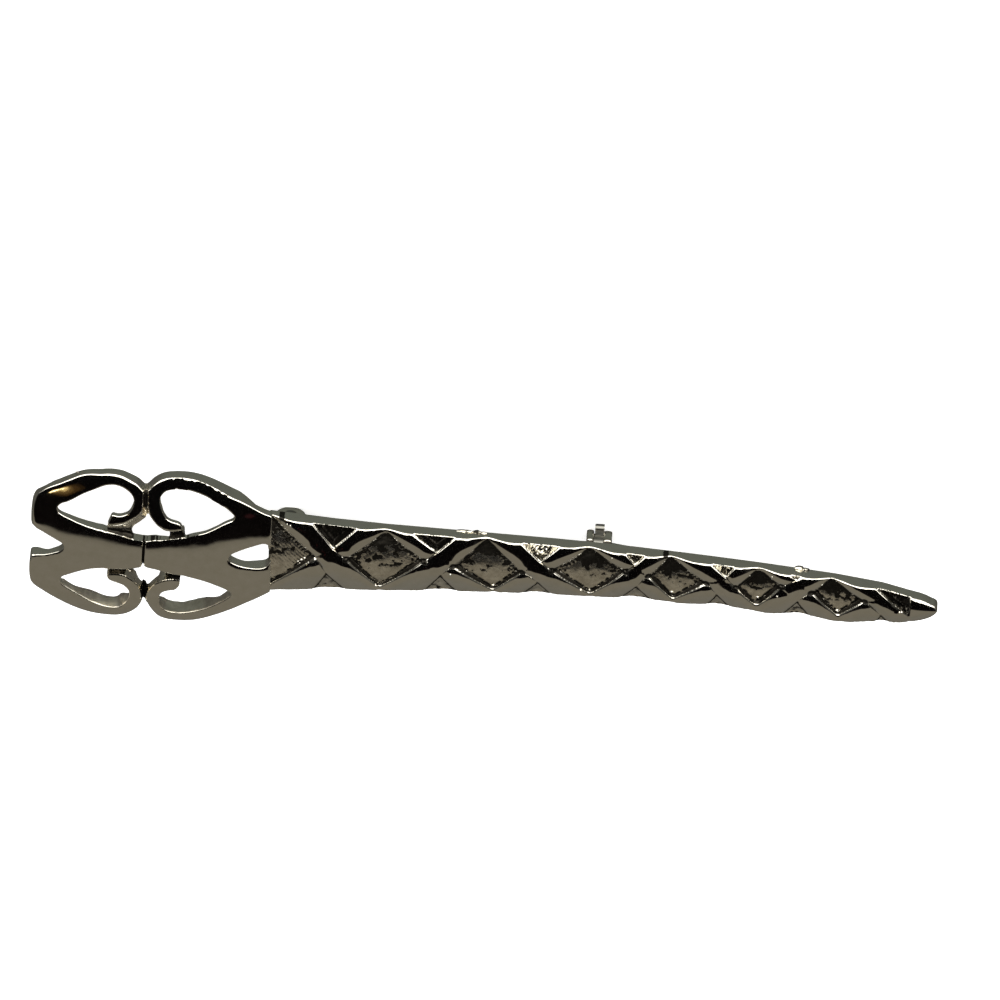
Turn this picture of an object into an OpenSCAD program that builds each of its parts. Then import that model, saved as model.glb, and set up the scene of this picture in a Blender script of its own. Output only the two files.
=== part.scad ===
// Bar brooch in the form of a sword: an openwork scroll hilt, and a tapered,
// domed blade under two crossing ribbons, cast in one with the hinge cheeks
// and the housing of the rollover catch soldered to its back.
// +X runs from the hilt to the tip, +Y is the upper edge when worn, +Z is the
// front. It lies face up on its hinge and catch, whose feet touch z = 0.

/* [Brooch] */
// Height of the flat back above the feet of the hinge and catch
back_z = 4.3; // [4:0.1:5]
// Number of facets on round parts
facets = 64; // [32:8:128]

/* [Hilt] */
// Height of the hilt's front above its back, at its highest
hilt_h = 2.6; // [2.2:0.1:3]
// Radius of the hilt's dome across its width
hilt_r_across = 31; // [28:1:60]
// Radius of the hilt's dome along its length
hilt_r_along = 123; // [110:1:200]
// Depth of the groove where the two halves of the hilt meet
waist_groove = 0.35; // [0.1:0.05:0.6]

/* [Blade] */
// Height of the blade's crown above its back, at the hilt
crown_root = 2.45; // [2.2:0.05:2.8]
// Height of the blade's crown above its back, at the tip
crown_tip = 1.75; // [1.5:0.05:2]
// Height of the blade's edge wall
edge_h = 1.2; // [1:0.05:1.4]
// How far the upper ribbon stands above the lower one where they cross
ribbon_step = 0.3; // [0.1:0.05:0.4]
// Height of the floor of the diamond cells above the back
cell_floor = 0.95; // [0.7:0.05:1.1]
// Height of the floor of the edge triangles above the back
tri_floor = 0.55; // [0.4:0.05:0.7]
// Height of the thin rim outside the edge triangles
tri_rim = 0.85; // [0.75:0.05:1]

/* [Pin and catch] */
// Place of the hinge rivet along the brooch
hinge_x = -21.15; // [-21.5:0.05:-20.8]
// Place of the middle of the catch along the brooch
catch_x = 12.3; // [12:0.05:12.6]
// Place of the pin across the brooch
pin_y = 0.5; // [0.3:0.05:0.7]
// Height of the pin's axis above the feet
pin_z = 1.65; // [1.6:0.05:1.7]
// Diameter of the pin stem
stem_d = 0.9; // [0.8:0.05:1]
// Diameter of the hinge rivet
rivet_d = 1.0; // [0.9:0.05:1.1]
// Length of the catch housing along the pin
catch_l = 2.8; // [2.6:0.1:3.2]
// Width of the mouth of the catch
mouth_w = 1.5; // [1.4:0.05:1.6]

/* [Hidden] */
e = 0.01;

// ---- curves -------------------------------------------------------------
// A smooth open curve through the rows of a table, each column alike.
function spline_at(p, i, t) =
    let (a = p[max(i - 1, 0)], b = p[i], c = p[min(i + 1, len(p) - 1)],
         d = p[min(i + 2, len(p) - 1)])
    0.5 * ((2 * b) + (c - a) * t + (2 * a - 5 * b + 4 * c - d) * t * t
           + (3 * b - a - 3 * c + d) * t * t * t);
function spline(p, n) =
    [for (i = [0 : len(p) - 2], k = [0 : n - 1]) spline_at(p, i, k / n), p[len(p) - 1]];

// The outline of a strap: rows are [x, y, half width].
function unit(v) = v / norm(v);
function along(p, i) =
    let (a = p[max(i - 1, 0)], b = p[min(i + 1, len(p) - 1)])
    unit([b[0] - a[0], b[1] - a[1]]);
function strap_side(p, s) =
    [for (i = [0 : len(p) - 1])
        let (d = along(p, i)) [p[i][0] - s * d[1] * p[i][2], p[i][1] + s * d[0] * p[i][2]]];
function backwards(p) = [for (i = [len(p) - 1 : -1 : 0]) p[i]];
module strap(rows) {
    p = spline(rows, 6);
    polygon(concat(strap_side(p, 1), backwards(strap_side(p, -1))));
}
module both_sides() { children(); mirror([0, 1, 0]) children(); }

// ---- hilt ---------------------------------------------------------------
waist_x = -36.8;
hilt_y = -0.1;
// Upper rim of the outer half, from the end of the prong over the lobe and
// back into its scroll: [x, y, half width]
rim_outer = [
    [-47.5, 3.6, 1.55], [-47.2, 5.5, 1.45], [-45.6, 7.15, 1.15], [-43.2, 8.45, 0.9],
    [-41.0, 9.0, 0.72], [-39.1, 8.7, 0.65], [-37.95, 7.75, 0.66], [-37.5, 6.5, 0.66],
    [-37.9, 5.25, 0.58], [-38.8, 4.35, 0.54], [-40.0, 3.9, 0.5], [-40.9, 3.85, 0.42]];
// Upper rim of the inner half, from the blade over the lobe to its scroll
rim_inner = [
    [-23.2, 3.5, 1.3], [-25.2, 4.7, 1.35], [-27.4, 6.6, 1.1], [-29.6, 8.05, 0.9],
    [-31.8, 8.85, 0.78], [-33.5, 9.05, 0.72], [-34.9, 8.55, 0.7], [-35.8, 7.5, 0.7],
    [-36.05, 6.3, 0.7], [-35.7, 5.1, 0.62], [-34.8, 4.15, 0.58], [-33.6, 3.65, 0.54],
    [-32.6, 3.6, 0.42]];
// Upper edge of the bar through the waist, from the outer end to the blade
waist_edge = [
    [-49.0, 5.0], [-47.4, 5.4], [-46.3, 4.7], [-44.2, 3.6], [-41.5, 2.75], [-39.0, 2.25],
    [-37.6, 2.05], [-36.8, 1.75], [-36.0, 2.0], [-35.0, 2.1], [-33.0, 2.45], [-31.0, 3.05],
    [-29.0, 4.1], [-27.3, 5.05], [-25.5, 5.1], [-23.0, 4.2]];
module hilt_outline() {
    both_sides() {
        strap(rim_outer);
        strap(rim_inner);
        // rounded corner at the outer end
        translate([-47.75, 5.1]) circle(r = 1.4, $fn = facets);
        // barb on each scroll
        translate([-40.75, 4.2]) circle(r = 0.42, $fn = facets);
        translate([-32.75, 3.8]) circle(r = 0.45, $fn = facets);
        difference() {
            polygon(concat(spline(waist_edge, 5), [[-23.0, -e], [-49.15, -e]]));
            // notch at the outer end
            polygon([[-49.6, -1], [-49.6, 2.3], [-48.7, 1.8], [-45.9, 0.35], [-45.45, 0], [-45.9, -1]]);
            // notch against the blade
            polygon([[-27.75, 0], [-27.3, 0.45], [-25.6, 1.3], [-24.2, 1.75], [-23.4, 1.6],
                     [-23.2, 1.1], [-23.2, -1], [-27.3, -1]]);
        }
    }
}
// Solid under the hilt's dome: an arc across, swung along a longer arc.
module hilt_dome() {
    translate([-32, 0, back_z + hilt_h - hilt_r_along]) rotate([90, 0, 0])
        rotate_extrude($fn = 720)
            intersection() {
                translate([hilt_r_along - hilt_r_across, 0]) circle(r = hilt_r_across, $fn = 360);
                translate([hilt_r_along - 12, -10.5]) square([20, 21]);
            }
}
module hilt() {
    translate([0, hilt_y, 0]) difference() {
        intersection() {
            translate([0, 0, back_z]) linear_extrude(4) hilt_outline();
            hilt_dome();
        }
        // groove between the two halves
        translate([waist_x - 0.13, -2.6, back_z + hilt_h - 0.1 - waist_groove])
            cube([0.26, 5.2, 2]);
    }
}

// ---- blade --------------------------------------------------------------
root_x = -23.2;
tip_x = 49.2;
// Half width of the blade: [x, half width]
width_rows = [[-23.2, 5.05], [-16, 4.4], [-10.6, 4.05], [0, 3.65], [12, 3.25], [20, 3.05],
              [30, 2.88], [38, 2.75], [43, 2.45], [46, 2.0], [48, 1.3], [49.2, 0.45]];
// Crossings of the ribbons: [x, slope sign of the upper ribbon, half length
// of the edge triangle above, of the one below, depth of the triangles]
crossings = [
    [-16.2, -1, 2.6, 2.4, 2.4], [-5.1, 1, 2.3, 2.3, 1.7], [6.0, -1, 2.0, 2.2, 1.8],
    [16.3, 1, 1.1, 1.9, 1.2], [25.9, -1, 1.1, 1.5, 1.2], [33.4, 1, 0.4, 1.4, 0.6],
    [42.9, -1, 0.4, 0.8, 0.7]];
// Diamond cells: [x, half length, distance of the corners from the edge,
// how far the lower corner lies along from the upper one]
cells = [[-21.6, 3.4, 0.5, 0], [-10.7, 4.1, 0.25, -0.6], [0.4, 3.6, 0.2, 0.4], [11.35, 3.75, 0.2, 0],
         [20.7, 2.9, 0.25, 0.2], [29.7, 2.35, 0.3, 0], [38.2, 2.8, 0.25, 0.5]];

function row_at(t, x, i = 0) =
    i >= len(t) - 2 || x < t[i + 1][0]
        ? t[i][1] + (t[i + 1][1] - t[i][1]) * (x - t[i][0]) / (t[i + 1][0] - t[i][0])
        : row_at(t, x, i + 1);
function half_width(x) = row_at(width_rows, x);
// The blade's slight sideways curve towards the tip
function bend(x) = -0.042 * ((x - 17) + sqrt(pow(x - 17, 2) + 49));
function crown(x) =
    let (t = (x - root_x) / (tip_x - root_x), c = crown_root + (crown_tip - crown_root) * t)
    x < 46 ? c : edge_h + (c - edge_h) * sqrt(max(0, 1 - pow((x - 46) / 3.4, 2)));
function edge_dip(x) =
    max([for (c = crossings) let (d = abs(x - c[0])) d < 2.4 ? (1 + cos(d * 75)) / 2 : 0]);
// Section at x: across the back, up the wall and over the dome
dome_n = 12;
function section(x, rise) =
    let (w = half_width(x) - 0.2 * edge_dip(x), h = crown(x) + rise, y0 = bend(x))
    concat([[x, y0 - w, back_z], [x, y0 + w, back_z]],
        [for (k = [0 : dome_n])
            let (t = cos(180 * k / dome_n))
            [x, y0 + w * t, back_z + edge_h + (h - edge_h) * (1 - t * t)]]);
stations = concat([for (x = [root_x : 0.9 : 44]) x], [44.6, 45.4, 46.2, 46.9, 47.5, 48, 48.4, 48.8, tip_x]);
module blade_dome(rise) {
    n = dome_n + 3;
    m = len(stations);
    pts = [for (x = stations) each section(x, rise)];
    sides = [for (i = [0 : m - 2], k = [0 : n - 1])
        let (a = i * n + k, b = i * n + (k + 1) % n) each [[a, b, b + n], [a, b + n, a + n]]];
    ends = [[for (k = [n - 1 : -1 : 0]) k], [for (k = [0 : n - 1]) (m - 1) * n + k]];
    polyhedron(points = pts, faces = concat([for (f = sides) [f[2], f[1], f[0]]],
        [for (f = ends) [for (k = [len(f) - 1 : -1 : 0]) f[k]]]));
}
// Upper ribbon: a straight strap over each crossing
module ribbons() {
    for (i = [0 : len(crossings) - 1]) {
        c = crossings[i];
        w = half_width(c[0]) + 0.3;
        y0 = bend(c[0]);
        run = c[1] * (i < len(cells) - 1 ? cells[i + 1][1] / (half_width(cells[i + 1][0]) - 0.2) : 0.95) * w;
        g = i < len(cells) - 1 ? min(1.55, cells[i + 1][0] - cells[i + 1][1] - c[0]) + 0.05 : 1.0;
        translate([c[0], y0, back_z]) linear_extrude(4)
            polygon([[-run - g, -w], [-run + g, -w], [run + g, w], [run - g, w]]);
    }
}
module cell_pocket(c) {
    h = half_width(c[0]) - c[2];
    r = 0.45;
    k = 1 / sqrt(2);
    translate([c[0], bend(c[0]), back_z + cell_floor]) linear_extrude(4)
        polygon([[-c[1], 0], [-c[1] + r * k, h * r / c[1] + 0.1], [-r, h - h * r / c[1] + 0.1], [r, h - h * r / c[1] + 0.1],
                 [c[1] - r * k, h * r / c[1] + 0.1], [c[1], 0], [c[1] - r * k, -h * r / c[1] - 0.1],
                 [r + c[3], -h + h * r / c[1] - 0.1], [-r + c[3], -h + h * r / c[1] - 0.1],
                 [-c[1] + r * k, -h * r / c[1] - 0.1]]);
}
module edge_triangle(x, s, half_l, deep, inset, floor_h, out) {
    w = half_width(x) - 0.2;
    translate([x, bend(x), back_z + floor_h]) linear_extrude(4)
        polygon([[-half_l + inset, s * (w - inset)], [0, s * (w - deep + inset)], [half_l - inset, s * (w - inset)],
                 [half_l - inset, s * (w + out)], [-half_l + inset, s * (w + out)]]);
}
module blade() {
    difference() {
        union() {
            blade_dome(0);
            intersection() { blade_dome(ribbon_step); ribbons(); }
        }
        for (c = cells) cell_pocket(c);
        for (c = crossings) {
            edge_triangle(c[0], 1, c[2], c[4], 0, tri_rim, 1);
            edge_triangle(c[0], 1, c[2], c[4], 0.22, tri_floor, 0);
            edge_triangle(c[0], -1, c[3], c[4], 0, tri_rim, 1);
            edge_triangle(c[0], -1, c[3], c[4], 0.22, tri_floor, 0);
        }
    }
}

// ---- fittings on the back -----------------------------------------------
cheek_t = 0.9;
cheek_gap = 1.6;
module hinge_cheeks() {
    for (s = [-1, 1])
        translate([hinge_x, pin_y + s * (cheek_gap + cheek_t) / 2, 0])
            difference() {
                union() {
                    translate([0, 0, pin_z]) rotate([90, 0, 0])
                        cylinder(h = cheek_t, r = 1.75, center = true, $fn = facets);
                    translate([-1.75, -cheek_t / 2, pin_z]) cube([3.5, cheek_t, back_z + 0.3 - pin_z]);
                }
                translate([0, 0, pin_z]) rotate([90, 0, 0])
                    cylinder(h = cheek_t + 1, d = rivet_d, center = true, $fn = facets);
            }
    translate([hinge_x - 1.75, pin_y - cheek_gap / 2 - cheek_t, back_z - 0.5])
        cube([3.5, cheek_gap + 2 * cheek_t, 0.8]);
}
house_in = 1.36;
house_out = 2.0;
plate_l = 0.8;
module catch_housing() {
    difference() {
        union() {
            for (s = [-1, 1])
                translate([catch_x + s * (catch_l - plate_l) / 2, pin_y, pin_z]) rotate([0, 90, 0])
                    cylinder(h = plate_l, r = house_out, center = true, $fn = facets);
            translate([catch_x - catch_l / 2, pin_y - 1.1, pin_z + house_in + 0.1])
                cube([catch_l, 2.2, back_z + 0.3 - pin_z - house_in - 0.1]);
        }
        translate([catch_x, pin_y, pin_z]) rotate([0, 90, 0])
            cylinder(h = catch_l + 1, r = house_in, center = true, $fn = facets);
        translate([catch_x - catch_l, pin_y - mouth_w / 2, pin_z - 3]) cube([2 * catch_l, mouth_w, 3]);
    }
}
// Both are cut flat at the feet
module fittings() {
    difference() {
        union() {
            hinge_cheeks();
            catch_housing();
        }
        translate([hinge_x - 5, pin_y - 5, -2]) cube([catch_x - hinge_x + 10, 10, 2]);
    }
}
module body() {
    color([0.62, 0.61, 0.57])
    union() {
        hilt();
        blade();
        fittings();
    }
}

// ---- rivet, pin and lever -----------------------------------------------
module hinge_rivet() {
    color([0.66, 0.65, 0.62])
    translate([hinge_x, pin_y, pin_z]) rotate([90, 0, 0]) {
        l = cheek_gap + 2 * cheek_t;
        cylinder(h = l + 0.3, d = rivet_d, center = true, $fn = facets);
        for (s = [-1, 1]) translate([0, 0, s * (l / 2 + 0.14)])
            cylinder(h = 0.24, d = rivet_d + 0.5, center = true, $fn = facets);
    }
}
stem_end = 16.4;
module pin_stem() {
    color([0.72, 0.72, 0.72])
    difference() {
        union() {
            translate([hinge_x, pin_y, pin_z]) rotate([90, 0, 0])
                cylinder(h = cheek_gap - 0.2, r = 1.25, center = true, $fn = facets);
            translate([hinge_x + 0.9, pin_y, pin_z]) rotate([0, 90, 0])
                cylinder(h = stem_end - 3 - hinge_x - 0.9, d = stem_d, $fn = facets);
            translate([stem_end - 3, pin_y, pin_z]) rotate([0, 90, 0])
                cylinder(h = 3, d1 = stem_d, d2 = 0.12, $fn = facets);
        }
        translate([hinge_x, pin_y, pin_z]) rotate([90, 0, 0])
            cylinder(h = cheek_gap + 1, d = rivet_d + 0.1, center = true, $fn = facets);
    }
}
lever_out = house_in - 0.05;
lever_in = 0.74;
tab_turn = -20;
module catch_lever() {
    color([0.6, 0.59, 0.55])
    difference() {
        union() {
            translate([catch_x, pin_y, pin_z]) rotate([0, 90, 0])
                cylinder(h = catch_l - 0.2, r = lever_out, center = true, $fn = facets);
            // thumb tab between the two plates of the housing
            translate([catch_x, pin_y, pin_z]) rotate([tab_turn, 0, 0]) {
                translate([-0.5, 0.9, -0.3]) cube([1.0, 1.15, 0.6]);
                translate([-0.5, 2.05, 0]) rotate([0, 90, 0]) cylinder(h = 1.0, r = 0.42, $fn = facets);
            }
        }
        translate([catch_x, pin_y, pin_z]) rotate([0, 90, 0])
            cylinder(h = catch_l + 1, r = lever_in, center = true, $fn = facets);
        translate([catch_x - catch_l, pin_y - 0.68, pin_z - 3]) cube([2 * catch_l, 1.36, 3]);
    }
}

body();
hinge_rivet();
pin_stem();
catch_lever();
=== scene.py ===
"""A cast bar brooch in the form of a sword, lying face up on its hinge and catch.
Lengths in the tables are millimetres, in the frame of the part. +X runs to the tip, +Z is the front."""

import math

import bmesh
import bpy
import numpy as np
from mathutils import Matrix, Vector
from mathutils.geometry import delaunay_2d_cdt
from mathutils.kdtree import KDTree


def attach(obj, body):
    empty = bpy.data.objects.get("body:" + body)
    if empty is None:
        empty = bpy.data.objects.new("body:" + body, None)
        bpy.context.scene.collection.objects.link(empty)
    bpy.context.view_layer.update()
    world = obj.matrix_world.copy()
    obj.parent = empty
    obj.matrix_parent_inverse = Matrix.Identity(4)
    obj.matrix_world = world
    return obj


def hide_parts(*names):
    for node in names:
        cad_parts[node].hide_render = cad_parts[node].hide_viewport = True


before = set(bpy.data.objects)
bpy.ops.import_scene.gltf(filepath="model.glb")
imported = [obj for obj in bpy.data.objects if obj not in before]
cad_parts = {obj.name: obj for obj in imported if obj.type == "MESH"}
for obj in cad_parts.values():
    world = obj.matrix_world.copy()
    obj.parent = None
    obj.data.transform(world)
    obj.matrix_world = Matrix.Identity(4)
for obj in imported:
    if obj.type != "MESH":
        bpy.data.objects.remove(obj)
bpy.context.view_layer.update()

BACK = 4.3  # height of the flat back above the floor
HILT_Y = -0.1
WAIST_X = -36.8
MM = 0.001


# ---------------------------------------------------------------- camera ----
def add_camera():
    tilt, turn, roll = math.radians(38), -0.03, 0.079
    scale, far = 9.268, 1500.0
    right = np.array([1.0, 0, 0])
    up = np.array([0, math.cos(tilt), -math.sin(tilt)])
    out = np.array([0, math.sin(tilt), math.cos(tilt)])
    c, s = math.cos(turn), math.sin(turn)
    m = np.array([[c, s, 0], [-s, c, 0], [0, 0, 1.0]])
    right, up, out = m.T @ right, m.T @ up, m.T @ out
    c, s = math.cos(roll), math.sin(roll)
    right, up = c * right + s * up, -s * right + c * up
    place = np.array([0, 0, BACK]) + far * out + (500 - 484) / scale * right + (558.3 - 500) / scale * up
    cam = bpy.data.cameras.new("camera")
    cam.sensor_width = 36
    cam.lens = 36 * far / (1000 / scale)
    cam.clip_start, cam.clip_end = 0.05, 50
    ob = bpy.data.objects.new("camera", cam)
    bpy.context.scene.collection.objects.link(ob)
    world = np.eye(4)
    world[:3, 0], world[:3, 1], world[:3, 2], world[:3, 3] = right, up, out, place * MM
    ob.matrix_world = Matrix(world.tolist())
    bpy.context.scene.camera = ob


add_camera()


# ----------------------------------------------------------------- nodes ----
def node(tree, kind, **values):
    n = tree.nodes.new(kind)
    for key, value in values.items():
        if key.startswith("in_"):
            n.inputs[key[3:].replace("_", " ")].default_value = value
        else:
            setattr(n, key, value)
    return n


def math_node(tree, op, a, b=None, c=None, clamp=False):
    n = tree.nodes.new("ShaderNodeMath")
    n.operation = op
    n.use_clamp = clamp
    for i, v in enumerate((a, b, c)):
        if v is None:
            continue
        if isinstance(v, (int, float)):
            n.inputs[i].default_value = v
        else:
            tree.links.new(v, n.inputs[i])
    return n.outputs[0]


def mix_colour(tree, fac, a, b, blend="MIX"):
    n = tree.nodes.new("ShaderNodeMix")
    n.data_type = "RGBA"
    n.blend_type = blend
    for i, v in ((0, fac), (6, a), (7, b)):
        if isinstance(v, (int, float)):
            n.inputs[i].default_value = v
        elif isinstance(v, tuple):
            n.inputs[i].default_value = (*v, 1.0)
        else:
            tree.links.new(v, n.inputs[i])
    return n.outputs[2]


def ramp(tree, fac, stops, mode="LINEAR"):
    n = tree.nodes.new("ShaderNodeValToRGB")
    n.color_ramp.interpolation = mode
    els = n.color_ramp.elements
    while len(els) > 1:
        els.remove(els[-1])
    for i, (p, col) in enumerate(stops):
        e = els[0] if i == 0 else els.new(p)
        e.position = p
        e.color = (*col, 1.0) if isinstance(col, tuple) else (col, col, col, 1.0)
    tree.links.new(fac, n.inputs[0])
    return n.outputs[0]


# -------------------------------------------------- surroundings and light ----
def add_studio():
    w = bpy.data.worlds.new("studio")
    bpy.context.scene.world = w
    w.use_nodes = True
    t = w.node_tree
    t.nodes.clear()
    co = node(t, "ShaderNodeTexCoord")
    sep = node(t, "ShaderNodeSeparateXYZ")
    t.links.new(co.outputs["Generated"], sep.inputs[0])
    x, y, z = sep.outputs
    # angle over the top, from straight up (0) towards +Y
    angle = math_node(t, "ARCTAN2", y, z)
    turn = math_node(t, "MULTIPLY_ADD", angle, 0.5 / math.pi, 0.5)

    def at(deg):
        return (deg + 180) / 360

    room = ramp(t, turn, [
        (at(-180), (0.085, 0.085, 0.075)), (at(-140), (0.105, 0.10, 0.085)),
        (at(-100), (0.14, 0.132, 0.112)), (at(-80), (0.175, 0.166, 0.144)),
        (at(-60), (0.190, 0.173, 0.138)), (at(-35.2), (0.190, 0.173, 0.138)),
        (at(-34.8), (0.002, 0.0012, 0.0012)), (at(-12), (0.0012, 0.001, 0.001)),
        (at(14), (0.003, 0.003, 0.003)), (at(30), (0.03, 0.03, 0.028)),
        (at(92), (0.12, 0.125, 0.11)), (at(120), (0.15, 0.16, 0.14)),
        (at(150), (0.135, 0.145, 0.125)), (at(180), (0.085, 0.085, 0.075))])
    ends = math_node(t, "MULTIPLY_ADD", math_node(t, "ABSOLUTE", x), 4.0, -2.2, clamp=True)
    room = mix_colour(t, ends, room, (0.10, 0.098, 0.088))
    box = ramp(t, turn, [(0.0, 0.0), (at(20), 0.0), (at(24), 1.0), (at(80), 1.0), (at(88), 0.0)])
    side = math_node(t, "ABSOLUTE", x)
    side = math_node(t, "SUBTRACT", 1.0, math_node(t, "MULTIPLY_ADD", side, 5.0, -3.4, clamp=True))
    box = math_node(t, "MULTIPLY", box, side)
    glossy = node(t, "ShaderNodeMix", data_type="RGBA", blend_type="ADD")
    glossy.inputs[0].default_value = 1.0
    t.links.new(room, glossy.inputs[6])
    white = node(t, "ShaderNodeVectorMath", operation="SCALE")
    white.inputs[0].default_value = (3.2, 3.15, 2.95)
    t.links.new(box, white.inputs["Scale"])
    t.links.new(white.outputs[0], glossy.inputs[7])
    both = glossy.outputs[2]
    path = node(t, "ShaderNodeLightPath")
    both = mix_colour(t, path.outputs["Is Glossy Ray"], (1.25, 1.25, 1.24), both)
    bg = node(t, "ShaderNodeBackground")
    t.links.new(both, bg.inputs[0])
    out = node(t, "ShaderNodeOutputWorld")
    t.links.new(bg.outputs[0], out.inputs[0])

    # a soft lamp over the brooch, for the faint shadow on the floor
    lamp = bpy.data.lights.new("soft_lamp", "AREA")
    lamp.shape = "RECTANGLE"
    lamp.size, lamp.size_y = 0.9, 0.6
    lamp.energy = 2.2
    ob = bpy.data.objects.new("soft_lamp", lamp)
    bpy.context.scene.collection.objects.link(ob)
    ob.location = (0.1, 0.25, 0.9)
    ob.rotation_euler = Vector((0.1, 0.25, 0.9)).to_track_quat("Z", "Y").to_euler()
    ob.visible_glossy = False

    # small warm lamps close to the hilt, reflected at its two ends: spot on the hilt, way to the lamp, size, radiance
    for name, spot, way, size, colour in (
            ("gold_lamp", (-47.7, 7.0, 6.7), (-0.222, -0.270, 0.940), (2.3, 3.3), (3.0, 2.6, 1.4)),
            ("gold_near", (-47.5, 7.0, 6.7), (-0.222, -0.268, 0.940), (3.8, 4.8), (0.6, 0.44, 0.18)),
            ("gold_halo", (-46.8, 6.9, 6.7), (-0.222, -0.265, 0.940), (5.2, 6.0), (0.06, 0.036, 0.012)),
            ("gold_wide", (-46.2, 6.9, 6.7), (-0.222, -0.264, 0.940), (7.0, 7.0), (0.028, 0.015, 0.004)),
            ("gold_edge", (-45.2, 6.9, 6.7), (-0.222, -0.262, 0.940), (9.4, 8.0), (0.016, 0.008, 0.002)),
            ("red_lamp", (-26.6, 5.4, 6.3), (0.055, -0.360, 0.931), (5.0, 3.0), (0.018, 0.004, 0.005))):
        way = Vector(way).normalized()
        lamp = bpy.data.lights.new(name, "AREA")
        lamp.shape = "ELLIPSE"
        lamp.size, lamp.size_y = size[0] * MM, size[1] * MM
        top = max(colour)
        lamp.color = tuple(c / top for c in colour)
        lamp.energy = top * math.pi * math.pi / 4 * lamp.size * lamp.size_y
        ob = bpy.data.objects.new(name, lamp)
        bpy.context.scene.collection.objects.link(ob)
        ob.location = (Vector(spot) + 60 * way) * MM
        ob.rotation_euler = way.to_track_quat("Z", "Y").to_euler()
        ob.visible_camera = False
        ob.visible_diffuse = False

    # the floor
    me = bpy.data.meshes.new("floor")
    r = 4.0
    me.from_pydata([(-r, -r, 0), (r, -r, 0), (r, r, 0), (-r, r, 0)], [], [(0, 1, 2, 3)])
    floor = bpy.data.objects.new("floor", me)
    bpy.context.scene.collection.objects.link(floor)
    mat = bpy.data.materials.new("floor_paper")
    mat.use_nodes = True
    b = mat.node_tree.nodes["Principled BSDF"]
    b.inputs["Base Color"].default_value = (0.9, 0.9, 0.895, 1)
    b.inputs["Roughness"].default_value = 0.9
    b.inputs["Specular IOR Level"].default_value = 0.1
    b.inputs["Emission Color"].default_value = (1.0, 1.0, 0.99, 1)
    b.inputs["Emission Strength"].default_value = 0.62
    me.materials.append(mat)
    floor.visible_glossy = False


add_studio()
view = bpy.context.scene.view_settings
view.view_transform = "Standard"
view.look = "None"
view.exposure = 0.0
view.gamma = 1.0


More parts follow.
